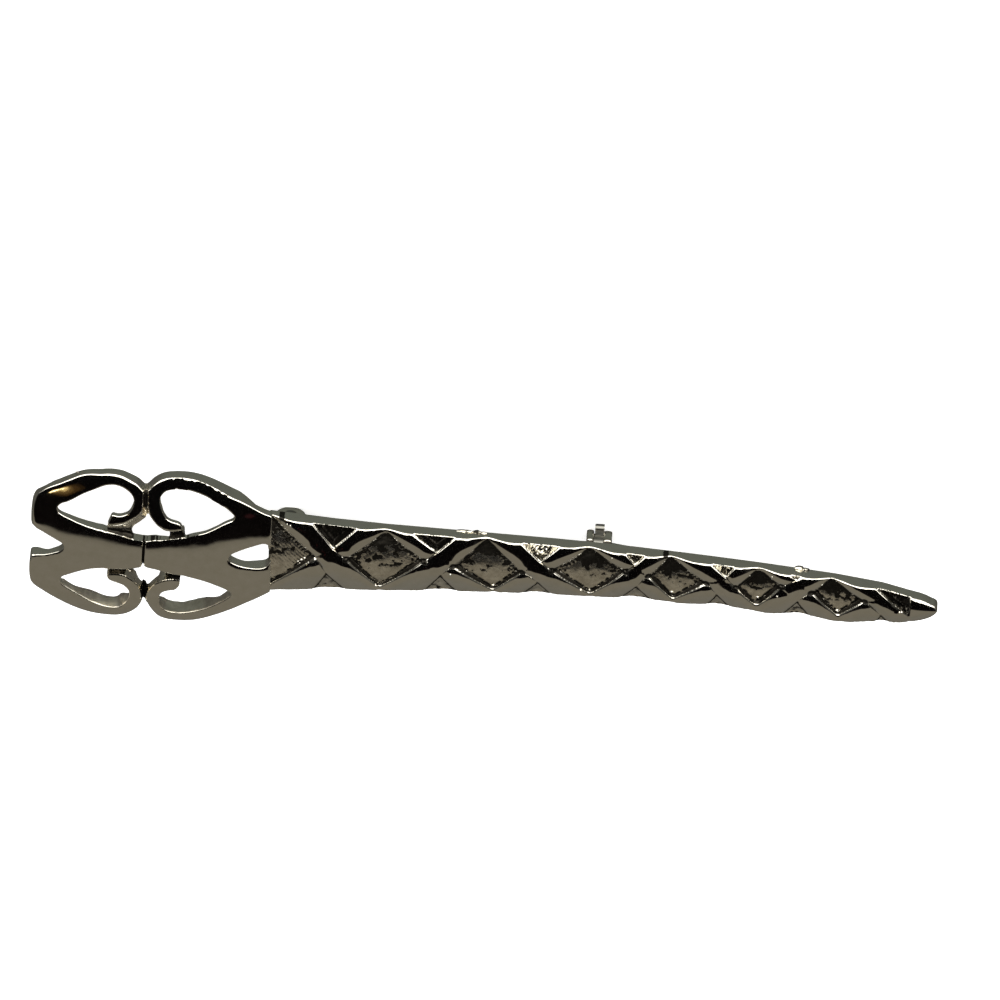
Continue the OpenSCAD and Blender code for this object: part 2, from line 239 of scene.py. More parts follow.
# ------------------------------------------------------------- materials ----
def plated(name, bright=(0.82, 0.79, 0.725), rough=0.045):
    """Polished plate, duller where the casting is recessed and painted near black as painted shade in creases, corners
    and hollows.
    The colour layer holds, for each point, how recessed and dull it is, how much painted shade (with some stain) it
    has, and how much of a side wall."""
    mat = bpy.data.materials.new(name)
    mat.use_nodes = True
    t = mat.node_tree
    b = t.nodes["Principled BSDF"]
    b.inputs["Metallic"].default_value = 1.0
    wear_and_shade = node(t, "ShaderNodeVertexColor", layer_name="wear_and_shade")
    sep = node(t, "ShaderNodeSeparateColor")
    t.links.new(wear_and_shade.outputs["Color"], sep.inputs[0])
    dull, stain_and_shade, wall = sep.outputs
    co = node(t, "ShaderNodeTexCoord")
    cloud = node(t, "ShaderNodeTexNoise", in_Scale=900.0, in_Detail=5.0, in_Roughness=0.6)
    t.links.new(co.outputs["Object"], cloud.inputs["Vector"])
    grain = node(t, "ShaderNodeTexNoise", in_Scale=5200.0, in_Detail=3.0, in_Roughness=0.6)
    t.links.new(co.outputs["Object"], grain.inputs["Vector"])
    # fine rubbed lines along the piece
    line_map = node(t, "ShaderNodeMapping")
    line_map.inputs["Scale"].default_value = (0.12, 1.0, 0.5)
    t.links.new(co.outputs["Object"], line_map.inputs[0])
    lines = node(t, "ShaderNodeTexNoise", in_Scale=9000.0, in_Detail=2.0, in_Roughness=0.7)
    t.links.new(line_map.outputs[0], lines.inputs["Vector"])
    # upright streaks on the walls
    wall_map = node(t, "ShaderNodeMapping")
    wall_map.inputs["Scale"].default_value = (1.0, 1.0, 0.12)
    t.links.new(co.outputs["Object"], wall_map.inputs[0])
    streak = node(t, "ShaderNodeTexNoise", in_Scale=2600.0, in_Detail=4.0, in_Roughness=0.65)
    t.links.new(wall_map.outputs[0], streak.inputs["Vector"])
    tint = ramp(t, cloud.outputs[0], [(0.3, (0.93, 0.93, 0.9)), (0.7, (1.0, 1.0, 1.0))])
    metal = mix_colour(t, 1.0, bright, tint, "MULTIPLY")
    dirty = ramp(t, cloud.outputs[0], [(0.32, (0.58, 0.53, 0.44)), (0.68, (0.95, 0.89, 0.76))])
    blot = node(t, "ShaderNodeTexNoise", in_Scale=2300.0, in_Detail=3.0, in_Roughness=0.7, in_Distortion=0.8)
    t.links.new(co.outputs["Object"], blot.inputs["Vector"])
    # painted shade, broken up by blotchy noise: darkens the plate towards near black in creases, corners and hollows
    stain_and_shade = math_node(t, "MULTIPLY_ADD", stain_and_shade, 1.25, math_node(t, "SUBTRACT", blot.outputs[0], 1.0))
    stain_and_shade = math_node(t, "MULTIPLY", stain_and_shade, 5.0, clamp=True)
    colour = mix_colour(t, dull, metal, dirty)
    colour = mix_colour(t, math_node(t, "MULTIPLY", stain_and_shade, 0.97), colour, (0.010, 0.008, 0.006))
    t.links.new(colour, b.inputs["Base Color"])
    r = math_node(t, "MULTIPLY_ADD", cloud.outputs[0], 0.03, rough - 0.015)
    r = math_node(t, "MULTIPLY_ADD", dull, 0.13, r)
    r = math_node(t, "MULTIPLY_ADD", wall, 0.14, r)
    r = math_node(t, "MULTIPLY_ADD", stain_and_shade, 0.3, r, clamp=True)
    t.links.new(r, b.inputs["Roughness"])
    h = math_node(t, "MULTIPLY", grain.outputs[0], math_node(t, "MULTIPLY_ADD", dull, 0.9, 0.015))
    h = math_node(t, "MULTIPLY_ADD", lines.outputs[0], 0.010, h)
    h = math_node(t, "ADD", h, math_node(t, "MULTIPLY", streak.outputs[0], math_node(t, "MULTIPLY", wall, 0.8)))
    bump = node(t, "ShaderNodeBump", in_Strength=0.35, in_Distance=0.00004)
    t.links.new(h, bump.inputs["Height"])
    t.links.new(bump.outputs[0], b.inputs["Normal"])
    return mat


def steel(name):
    """Drawn steel of the pin, with fine lines along it."""
    mat = bpy.data.materials.new(name)
    mat.use_nodes = True
    t = mat.node_tree
    b = t.nodes["Principled BSDF"]
    b.inputs["Metallic"].default_value = 1.0
    co = node(t, "ShaderNodeTexCoord")
    m = node(t, "ShaderNodeMapping")
    m.inputs["Scale"].default_value = (0.04, 1.0, 1.0)
    t.links.new(co.outputs["Object"], m.inputs[0])
    lines = node(t, "ShaderNodeTexNoise", in_Scale=14000.0, in_Detail=3.0, in_Roughness=0.6)
    t.links.new(m.outputs[0], lines.inputs["Vector"])
    cloud = node(t, "ShaderNodeTexNoise", in_Scale=700.0, in_Detail=4.0)
    t.links.new(co.outputs["Object"], cloud.inputs["Vector"])
    t.links.new(ramp(t, cloud.outputs[0], [(0.3, (0.60, 0.59, 0.56)), (0.7, (0.74, 0.73, 0.70))]), b.inputs["Base Color"])
    t.links.new(math_node(t, "MULTIPLY_ADD", lines.outputs[0], 0.16, 0.14), b.inputs["Roughness"])
    bump = node(t, "ShaderNodeBump", in_Strength=0.3, in_Distance=0.00002)
    t.links.new(lines.outputs[0], bump.inputs["Height"])
    t.links.new(bump.outputs[0], b.inputs["Normal"])
    return mat


PLATE = plated("plated_casting")
CATCH = plated("catch_metal", (0.26, 0.255, 0.235), 0.36)
STEEL = steel("pin_steel")


# ----------------------------------------------------------------- tools ----
def noise(x, y, seed=0.0):
    """Smooth value noise from 0 to 1."""
    xi, yi = np.floor(x), np.floor(y)
    u, v = x - xi, y - yi
    u, v = u * u * (3 - 2 * u), v * v * (3 - 2 * v)

    def h(a, b):
        s = np.sin(a * 127.1 + b * 311.7 + seed * 74.7) * 43758.5453
        return s - np.floor(s)

    return (h(xi, yi) * (1 - u) + h(xi + 1, yi) * u) * (1 - v) + (h(xi, yi + 1) * (1 - u) + h(xi + 1, yi + 1) * u) * v


def smooth(a, b, t):
    t = np.clip((t - a) / (b - a), 0, 1)
    return t * t * (3 - 2 * t)


def smin(a, b, k):
    h = np.maximum(k - np.abs(a - b), 0) / k
    return np.minimum(a, b) - h * h * k / 4


def smax(a, b, k):
    return -smin(-a, -b, k)


def spline(rows, n):
    """A smooth curve through the rows of a table, each column alike."""
    p = np.array(rows, float)
    out = []
    for i in range(len(p) - 1):
        a, b, c, d = p[max(i - 1, 0)], p[i], p[i + 1], p[min(i + 2, len(p) - 1)]
        for k in range(n):
            t = k / n
            out.append(0.5 * (2 * b + (c - a) * t + (2 * a - 5 * b + 4 * c - d) * t * t + (3 * b - a - 3 * c + d) * t ** 3))
    out.append(p[-1])
    return np.array(out)


CASES = {1: ("BL",), 2: ("RB",), 4: ("TR",), 8: ("LT",), 3: ("RL",), 6: ("TB",), 12: ("LR",), 9: ("BT",),
         7: ("TL",), 11: ("RT",), 13: ("BR",), 14: ("LB",), 5: ("BL", "TR"), 10: ("RB", "LT")}


def level_lines(f, x0, y0, h, level):
    """Closed lines where the grid f[row, column] passes level."""
    ny, nx = f.shape
    inside = f < level
    code = inside[:-1, :-1] * 1 + inside[:-1, 1:] * 2 + inside[1:, 1:] * 4 + inside[1:, :-1] * 8
    follow = {}
    for j, i in zip(*np.nonzero((code > 0) & (code < 15))):
        edge = {"B": (i, j, 0), "T": (i, j + 1, 0), "L": (i, j, 1), "R": (i + 1, j, 1)}
        for a, b in CASES[int(code[j, i])]:
            follow[edge[a]] = edge[b]
    loops = []
    while follow:
        start = next(iter(follow))
        loop, e = [], start
        while e in follow:
            i, j, up = e
            a = f[j, i]
            b = f[j + 1, i] if up else f[j, i + 1]
            t = (level - a) / (b - a)
            loop.append((x0 + (i + (0 if up else t)) * h, y0 + (j + (t if up else 0)) * h))
            e = follow.pop(e)
        if len(loop) > 8:
            loops.append(np.array(loop))
    return loops


def resample(loop, step, closed=True):
    p = np.vstack([loop, loop[:1]]) if closed else loop
    s = np.concatenate([[0], np.cumsum(np.hypot(*np.diff(p, axis=0).T))])
    n = max(4, int(round(s[-1] / step)))
    at = np.linspace(0, s[-1], n + 1)
    if closed:
        at = at[:-1]
    return np.column_stack([np.interp(at, s, p[:, 0]), np.interp(at, s, p[:, 1])])


def inside(px, py, loops):
    """Which points lie inside the closed loops, counting crossings."""
    a = np.vstack(loops)
    b = np.vstack([np.roll(l, -1, axis=0) for l in loops])
    odd = np.zeros(len(px), bool)
    order = np.argsort(a[:, 1])
    a, b = a[order], b[order]
    for k in range(0, len(px), 2000):
        x, y = px[k:k + 2000, None], py[k:k + 2000, None]
        cross = (a[None, :, 1] > y) != (b[None, :, 1] > y)
        with np.errstate(divide="ignore", invalid="ignore"):
            xx = a[None, :, 0] + (y - a[None, :, 1]) * (b[None, :, 0] - a[None, :, 0]) / (b[None, :, 1] - a[None, :, 1])
        odd[k:k + 2000] = (cross & (x < xx)).sum(1) % 2 == 1
    return odd


def near(loops, closed=True, step=0.02):
    """A function giving the distance of points from the lines."""
    pts = np.vstack([resample(l, step, closed) for l in loops])
    tree = KDTree(len(pts))
    for i, (x, y) in enumerate(pts):
        tree.insert((x, y, 0), i)
    tree.balance()
    find = tree.find
    return lambda x, y: np.array([find((a, b, 0))[2] for a, b in zip(x, y)])


def triangulate(outline, lines, points):
    """Triangles of the area inside the closed outline loops, through the inner lines and points."""
    coords, edges = [], []
    for l in outline:
        n = len(coords)
        coords += [Vector((x, y)) for x, y in l]
        edges += [(n + i, n + (i + 1) % len(l)) for i in range(len(l))]
    for l, closed in lines:
        n = len(coords)
        coords += [Vector((x, y)) for x, y in l]
        edges += [(n + i, n + i + 1) for i in range(len(l) - 1)]
        if closed:
            edges.append((n + len(l) - 1, n))
    coords += [Vector((x, y)) for x, y in points]
    r = delaunay_2d_cdt(coords, edges, [], 0, 1e-5, True)
    xy = np.array([(v.x, v.y) for v in r[0]])
    tris = np.array([f for f in r[2]], int)
    tris = tris[within(xy, tris, r, sum(len(l) for l in outline), outline)]
    used = np.unique(tris)
    index = -np.ones(len(xy), int)
    index[used] = np.arange(len(used))
    return xy[used], index[tris]


def within(xy, tris, r, n_outline, outline):
    """Which triangles lie inside the outline, found region by region."""
    fence = set()
    for (a, b), orig in zip(r[1], r[4]):
        if any(o < n_outline for o in orig):
            fence.add((min(a, b), max(a, b)))
    owner, link = {}, [[] for _ in tris]
    for i, (a, b, c) in enumerate(tris.tolist()):
        for e in ((a, b), (b, c), (c, a)):
            e = (min(e), max(e))
            if e in fence:
                continue
            if e in owner:
                link[i].append(owner[e])
                link[owner[e]].append(i)
            else:
                owner[e] = i
    area = np.abs(np.cross(xy[tris[:, 1]] - xy[tris[:, 0]], xy[tris[:, 2]] - xy[tris[:, 0]]))
    keep = np.zeros(len(tris), bool)
    seen = np.zeros(len(tris), bool)
    for i in range(len(tris)):
        if seen[i]:
            continue
        seen[i] = True
        region, stack = [i], [i]
        while stack:
            for k in link[stack.pop()]:
                if not seen[k]:
                    seen[k] = True
                    region.append(k)
                    stack.append(k)
        big = region[int(np.argmax(area[region]))]
        mid = xy[tris[big]].mean(0)
        if inside(mid[:1], mid[1:], outline)[0]:
            keep[region] = True
    return keep


def border(tris):
    """The border edges of the triangles, and the next border point of each."""
    e = np.vstack([tris[:, [0, 1]], tris[:, [1, 2]], tris[:, [2, 0]]])
    have = set(map(tuple, e.tolist()))
    return [(a, b) for a, b in have if (b, a) not in have]


def flat_area(ring, points):
    """Triangles of the area inside one closed loop, as numbers of its points and then of the inner points."""
    n = len(ring)
    coords = [Vector(p) for p in np.vstack([ring, points])]
    r = delaunay_2d_cdt(coords, [(i, (i + 1) % n) for i in range(n)], [], 0, 1e-6, True)
    xy = np.array([(v.x, v.y) for v in r[0]])
    tris = np.array([f for f in r[2]], int)
    origin = [o[0] for o in r[3]]
    return [[origin[k] for k in t] for t in tris[within(xy, tris, r, n, [ring])].tolist()]


def slab(name, xy, tris, z, wear_and_shade, z_back, rings=(0.12, 0.3, 0.5, 0.75), lean=None, rough=0.0, flat=False):
    """A closed mesh: the front surface z over xy, side walls, and a back surface over the same triangles, or over
    fewer ones where it is flat. lean moves the back edge outwards in xy."""
    n = len(xy)
    edge = border(tris)
    nxt = dict(edge)
    assert len(nxt) == len(edge), "pinched outline"
    ids = sorted(nxt)
    pos = {v: i for i, v in enumerate(ids)}
    p = xy[ids]
    shift = np.zeros((len(ids), 2)) if lean is None else lean[ids]
    back_xy = xy.copy()
    back_xy[ids] += shift
    verts = [np.column_stack([xy, z])]
    cols = [wear_and_shade]
    faces = [tuple(t) for t in tris.tolist()]
    m = len(ids)
    top, low = z[ids], z_back[ids]
    wall = np.zeros((m, 3))
    wall[:, 0] = wear_and_shade[ids][:, 0]
    wall[:, 1] = wear_and_shade[ids][:, 1]
    wall[:, 2] = 1.0
    last = ids
    start = n
    order = {}
    for k in rings:
        f = k + rough * (noise(p[:, 0] * 3.1, p[:, 1] * 3.1 + 9 * k, 11) - 0.5) * (1 - k)
        f = np.clip(f, 0.02, 0.98)
        verts.append(np.column_stack([p + shift * f[:, None], top + (low - top) * f]))
        cols.append(wall)
        now = list(range(start, start + m))
        for v in ids:
            i, j = pos[v], pos[nxt[v]]
            faces.append((last[j], last[i], now[i], now[j]))
        last, start = now, start + m
    if flat:
        loop = [ids[0]]
        while nxt[loop[-1]] != ids[0]:
            loop.append(nxt[loop[-1]])
        assert len(loop) == m, "more than one outline"
        ring = xy[loop]
        gx, gy = np.meshgrid(np.arange(ring[:, 0].min(), ring[:, 0].max(), 0.5), np.arange(ring[:, 1].min(), ring[:, 1].max(), 0.5))
        points = np.column_stack([gx.ravel(), gy.ravel()])
        points = points[inside(points[:, 0], points[:, 1], [ring])]
        points = points[near([ring])(points[:, 0], points[:, 1]) > 0.25]
        back = np.zeros((m + len(points), 3))
        back[:, 0] = 0.35
        back[:, 2] = 0.6
        verts.append(np.column_stack([np.vstack([xy[ids], points]), np.full(m + len(points), z_back[0])]))
        cols.append(back)
        number = [start + pos[v] for v in loop] + list(range(start + m, start + m + len(points)))
        for v in ids:
            i, j = pos[v], pos[nxt[v]]
            faces.append((last[j], last[i], start + i, start + j))
        for a, b, c in flat_area(ring, points):
            faces.append((number[c], number[b], number[a]))
        return build(name, np.vstack(verts), faces, np.vstack(cols))
    back = wear_and_shade * 0.0
    back[:, 0] = 0.35
    back[:, 2] = 0.6
    verts.append(np.column_stack([back_xy, z_back]))
    cols.append(back)
    for v in ids:
        i, j = pos[v], pos[nxt[v]]
        faces.append((last[j], last[i], start + v, start + nxt[v]))
    faces += [(start + c, start + b, start + a) for a, b, c in tris.tolist()]
    return build(name, np.vstack(verts), faces, np.vstack(cols))


def build(name, verts, faces, wear_and_shade, material=None, sharp=50):
    me = bpy.data.meshes.new(name)
    me.from_pydata((np.asarray(verts, float) * MM).tolist(), [], faces)
    layer = me.color_attributes.new("wear_and_shade", "FLOAT_COLOR", "POINT")
    c = np.ones((len(verts), 4), np.float32)
    c[:, :3] = np.clip(wear_and_shade, 0, 1)
    layer.data.foreach_set("color", c.ravel())
    me.materials.append(material or PLATE)
    me.validate()
    me.shade_smooth()
    me.set_sharp_from_angle(angle=math.radians(sharp))
    ob = bpy.data.objects.new(name, me)
    bpy.context.scene.collection.objects.link(ob)
    return ob


# ------------------------------------------------------------------ hilt ----
# Outlines, in (x, across from the hilt's middle line). The outer one runs over the two upper lobes, along the
# blade end, back under the two lower lobes and into the notch of the outer end.
OUTER = [
    (-48.89, 2.49), (-48.94, 3.50), (-48.91, 4.52), (-48.77, 5.40), (-48.46, 6.12), (-48.03, 6.57), (-47.39, 7.08),
    (-46.64, 7.51), (-45.89, 7.87), (-45.15, 8.30), (-44.29, 8.77), (-43.76, 9.04), (-43.11, 9.26), (-42.36, 9.38),
    (-41.49, 9.44), (-40.74, 9.55), (-39.98, 9.55), (-39.22, 9.42), (-38.56, 9.14), (-38.01, 8.85), (-37.57, 8.60),
    (-37.18, 8.24), (-36.90, 7.92), (-36.66, 7.78), (-36.42, 7.93), (-36.16, 8.24), (-35.84, 8.64), (-35.32, 9.10),
    (-34.79, 9.42), (-34.26, 9.60), (-33.62, 9.70), (-32.87, 9.75), (-32.11, 9.74), (-31.46, 9.65), (-30.81, 9.50),
    (-30.05, 9.23), (-29.39, 8.95), (-28.62, 8.56), (-27.86, 8.15), (-27.20, 7.80), (-26.44, 7.50), (-25.34, 6.94),
    (-24.47, 6.42), (-23.70, 6.01), (-22.92, 5.60), (-22.92, 4.5), (-22.92, 3.0), (-22.92, 1.5), (-23.10, 1.85),
    (-23.60, 2.13), (-24.13, 2.04), (-24.87, 1.74), (-25.72, 1.38), (-26.57, 0.96), (-27.26, 0.49), (-27.46, 0.04),
    (-27.38, -0.30), (-27.08, -0.56), (-26.43, -0.89), (-25.67, -1.11), (-25.13, -1.19), (-24.37, -1.26),
    (-23.62, -1.12), (-23.20, -0.75), (-22.92, -0.2), (-22.92, -1.2), (-22.92, -2.5), (-22.92, -3.4), (-22.92, -4.38), (-23.45, -4.87),
    (-24.52, -5.62), (-25.59, -6.33), (-26.66, -7.10), (-27.74, -7.80), (-28.81, -8.45), (-29.89, -9.03),
    (-30.98, -9.50), (-32.06, -9.72), (-33.15, -9.77), (-34.02, -9.70), (-34.78, -9.42), (-35.32, -8.90),
    (-35.87, -7.98), (-36.20, -7.22), (-36.41, -6.97), (-36.58, -6.90), (-36.74, -7.02), (-37.01, -7.60),
    (-37.39, -8.30), (-38.04, -8.97), (-38.70, -9.42), (-39.46, -9.69), (-40.22, -9.78), (-41.31, -9.75),
    (-42.41, -9.60), (-43.50, -9.27), (-44.59, -8.78), (-45.68, -8.16), (-46.77, -7.46), (-47.65, -6.82),
    (-48.41, -6.25), (-48.87, -5.59), (-49.04, -4.54), (-49.06, -3.35), (-49.00, -2.17), (-48.87, -1.82),
    (-48.32, -1.67), (-47.34, -1.47), (-46.26, -1.01), (-45.61, -0.59), (-45.31, -0.13), (-45.51, 0.31),
    (-45.73, 0.48), (-46.28, 0.80), (-46.83, 1.12), (-47.38, 1.43), (-47.93, 1.73), (-48.59, 2.08)]
UPPER_OUTER_HOLE = [
    (-46.11, 4.76), (-45.98, 5.15), (-45.61, 5.51), (-45.18, 5.69), (-44.75, 5.93), (-44.22, 6.30), (-43.69, 6.69),
    (-43.15, 7.03), (-42.62, 7.33), (-42.09, 7.59), (-41.55, 7.86), (-41.02, 8.10), (-40.48, 8.23), (-39.94, 8.27),
    (-39.39, 8.15), (-38.85, 7.91), (-38.29, 7.50), (-37.95, 7.00), (-37.85, 6.53), (-37.92, 5.98), (-38.12, 5.42),
    (-38.40, 4.93), (-38.77, 4.68), (-39.20, 4.50), (-39.74, 4.48), (-40.07, 4.57), (-40.25, 4.42), (-40.40, 3.97),
    (-40.60, 3.44), (-40.66, 2.53), (-41.20, 2.66), (-41.75, 2.72), (-42.29, 2.88), (-42.84, 3.00), (-43.38, 3.19),
    (-43.93, 3.37), (-44.48, 3.61), (-45.03, 3.85), (-45.47, 4.04), (-45.80, 4.24), (-46.02, 4.46)]
UPPER_INNER_HOLE = [
    (-32.51, 3.64), (-32.69, 4.07), (-33.02, 4.30), (-33.45, 4.40), (-33.89, 4.55), (-34.22, 4.77), (-34.55, 5.24),
    (-34.79, 5.83), (-34.99, 6.54), (-35.01, 7.13), (-34.84, 7.56), (-34.42, 8.00), (-33.89, 8.29), (-33.14, 8.40),
    (-32.39, 8.39), (-31.52, 8.22), (-30.76, 7.99), (-29.99, 7.68), (-29.34, 7.36), (-28.57, 6.95), (-27.91, 6.47),
    (-27.36, 6.04), (-27.02, 5.66), (-26.96, 5.30), (-27.22, 5.01), (-27.43, 4.91), (-27.96, 4.62), (-28.49, 4.27),
    (-29.02, 3.91), (-29.55, 3.57), (-30.08, 3.28), (-30.61, 3.09), (-31.15, 2.93), (-31.68, 2.74), (-32.22, 2.58)]
LOWER_OUTER_HOLE = [
    (-45.63, -4.74), (-45.41, -4.32), (-44.92, -4.02), (-44.38, -3.70), (-43.83, -3.39), (-43.18, -3.07),
    (-42.42, -2.78), (-41.55, -2.59), (-40.79, -2.51), (-40.61, -3.11), (-40.60, -3.70), (-40.50, -4.06),
    (-40.25, -4.37), (-39.70, -4.60), (-39.16, -4.79), (-38.72, -5.04), (-38.36, -5.44), (-38.17, -5.90),
    (-38.15, -6.42), (-38.32, -7.08), (-38.69, -7.76), (-39.13, -8.22), (-39.67, -8.43), (-40.22, -8.46),
    (-40.76, -8.40), (-41.31, -8.24), (-41.86, -8.01), (-42.40, -7.72), (-42.95, -7.37), (-43.49, -6.97),
    (-44.04, -6.58), (-44.59, -6.20), (-45.13, -5.82), (-45.57, -5.40)]
LOWER_INNER_HOLE = [
    (-32.55, -2.65), (-31.57, -2.87), (-30.49, -3.16), (-29.40, -3.54), (-28.53, -3.94), (-27.88, -4.25),
    (-27.44, -4.55), (-27.10, -4.89), (-27.15, -5.22), (-27.43, -5.60), (-28.07, -6.20), (-28.83, -6.80),
    (-29.58, -7.32), (-30.44, -7.79), (-31.31, -8.17), (-32.17, -8.44), (-32.93, -8.54), (-33.69, -8.48),
    (-34.34, -8.18), (-34.73, -7.68), (-34.91, -7.01), (-34.92, -6.29), (-34.77, -5.72), (-34.47, -5.33),
    (-33.93, -5.05), (-33.28, -4.88), (-32.96, -4.55), (-32.72, -4.07), (-32.65, -3.40)]
UPPER_GAP = [
    (-37.96, 2.91), (-37.69, 3.37), (-37.16, 3.90), (-36.63, 4.44), (-36.28, 4.79), (-35.94, 4.70), (-35.49, 4.01),
    (-34.94, 3.46), (-34.44, 3.10), (-33.95, 2.60), (-33.95, 2.15), (-34.37, 2.09), (-34.90, 1.98), (-35.44, 1.96),
    (-35.98, 1.82), (-36.31, 1.72), (-36.74, 1.71), (-37.28, 1.76), (-37.82, 1.84), (-38.0, 2.3)]
LOWER_GAP = [
    (-37.87, -2.19), (-37.33, -2.02), (-37.00, -1.89), (-36.68, -1.55), (-36.35, -1.82), (-35.92, -1.94),
    (-35.37, -2.04), (-34.83, -2.20), (-34.80, -2.9), (-34.96, -3.60), (-35.33, -4.01), (-35.76, -4.55),
    (-36.13, -5.13), (-36.44, -5.47), (-36.72, -5.31), (-37.05, -4.75), (-37.50, -3.96), (-37.83, -3.49), (-37.97, -2.8)]
# Front edges of the scrolls and of the bar where low metal joins them
UPPER_OUTER_SCROLL = [
    (-40.60, 3.44), (-40.36, 3.28), (-39.82, 3.27), (-39.28, 3.40), (-38.74, 3.64), (-38.21, 3.99), (-37.68, 4.41),
    (-37.26, 4.86), (-36.95, 5.38), (-36.85, 5.87)]
UPPER_INNER_SCROLL = [
    (-36.32, 6.07), (-36.23, 5.47), (-36.06, 4.93), (-35.72, 4.40), (-35.27, 3.88), (-34.83, 3.53), (-34.39, 3.29),
    (-33.85, 3.23), (-33.21, 3.28), (-32.55, 3.50)]
BAR_TOP = [
    (-40.66, 2.53), (-40.11, 2.40), (-39.57, 2.33), (-39.02, 2.17), (-38.48, 1.99), (-37.82, 1.84), (-37.28, 1.76),
    (-36.74, 1.71), (-36.31, 1.72), (-35.98, 1.82), (-35.44, 1.96), (-34.90, 1.98), (-34.37, 2.09), (-33.83, 2.20),
    (-33.29, 2.33), (-32.43, 2.50), (-32.22, 2.58)]
BAR_LOW = [
    (-40.79, -2.51), (-40.03, -2.48), (-39.38, -2.40), (-38.62, -2.31), (-37.87, -2.19), (-37.33, -2.02),
    (-37.00, -1.89), (-36.68, -1.55), (-36.35, -1.82), (-35.92, -1.94), (-35.37, -2.04), (-34.83, -2.20),
    (-34.29, -2.34), (-33.74, -2.46), (-33.20, -2.58), (-32.55, -2.65)]
LOWER_OUTER_SCROLL = [
    (-40.60, -3.70), (-40.42, -3.48), (-40.04, -3.42), (-39.50, -3.37), (-39.06, -3.39), (-38.63, -3.52),
    (-38.08, -3.90), (-37.53, -4.36), (-37.17, -5.01), (-36.95, -5.76), (-36.85, -6.37)]
LOWER_INNER_SCROLL = [
    (-36.32, -6.19), (-36.05, -5.38), (-35.67, -4.70), (-35.24, -4.15), (-34.70, -3.72), (-34.16, -3.45),
    (-33.52, -3.33), (-32.92, -3.31), (-32.65, -3.40)]
HILT_END = -22.92


def closed_curve(rows):
    p = np.array(rows, float)
    n = len(p)
    out = []
    for i in range(n):
        a, b, c, d = p[i - 1], p[i], p[(i + 1) % n], p[(i + 2) % n]
        for k in range(8):
            t = k / 8
            out.append(0.5 * (2 * b + (c - a) * t + (2 * a - 5 * b + 4 * c - d) * t * t + (3 * b - a - 3 * c + d) * t ** 3))
    out = resample(np.array(out), 0.085)
    for _ in range(2):
        out = 0.25 * np.roll(out, 1, axis=0) + 0.5 * out + 0.25 * np.roll(out, -1, axis=0)
    out[:, 0] = np.where(out[:, 0] > HILT_END - 0.06, HILT_END, out[:, 0])
    return out


def hilt_dome(x, v):
    ra, rl = 37.0, 123.0
    r = rl - ra + np.sqrt(np.maximum(ra * ra - v * v, 0))
    # the middle is flatter towards the ends and rounder at the waist
    k = np.interp(x, [-49, -47.2, -45.7, -41.4, -37.1, -36.2, -34.0, -30.6, -25.2, -23],
                  [-0.012, -0.013, -0.0085, -0.0028, 0.0114, 0.018, 0.003, -0.0080, -0.034, -0.036])
    return 2.6 - rl + np.sqrt(r * r - (x + 32) ** 2) - 6.125 * k * (1 - np.exp(-((v / 3.5) ** 2)))


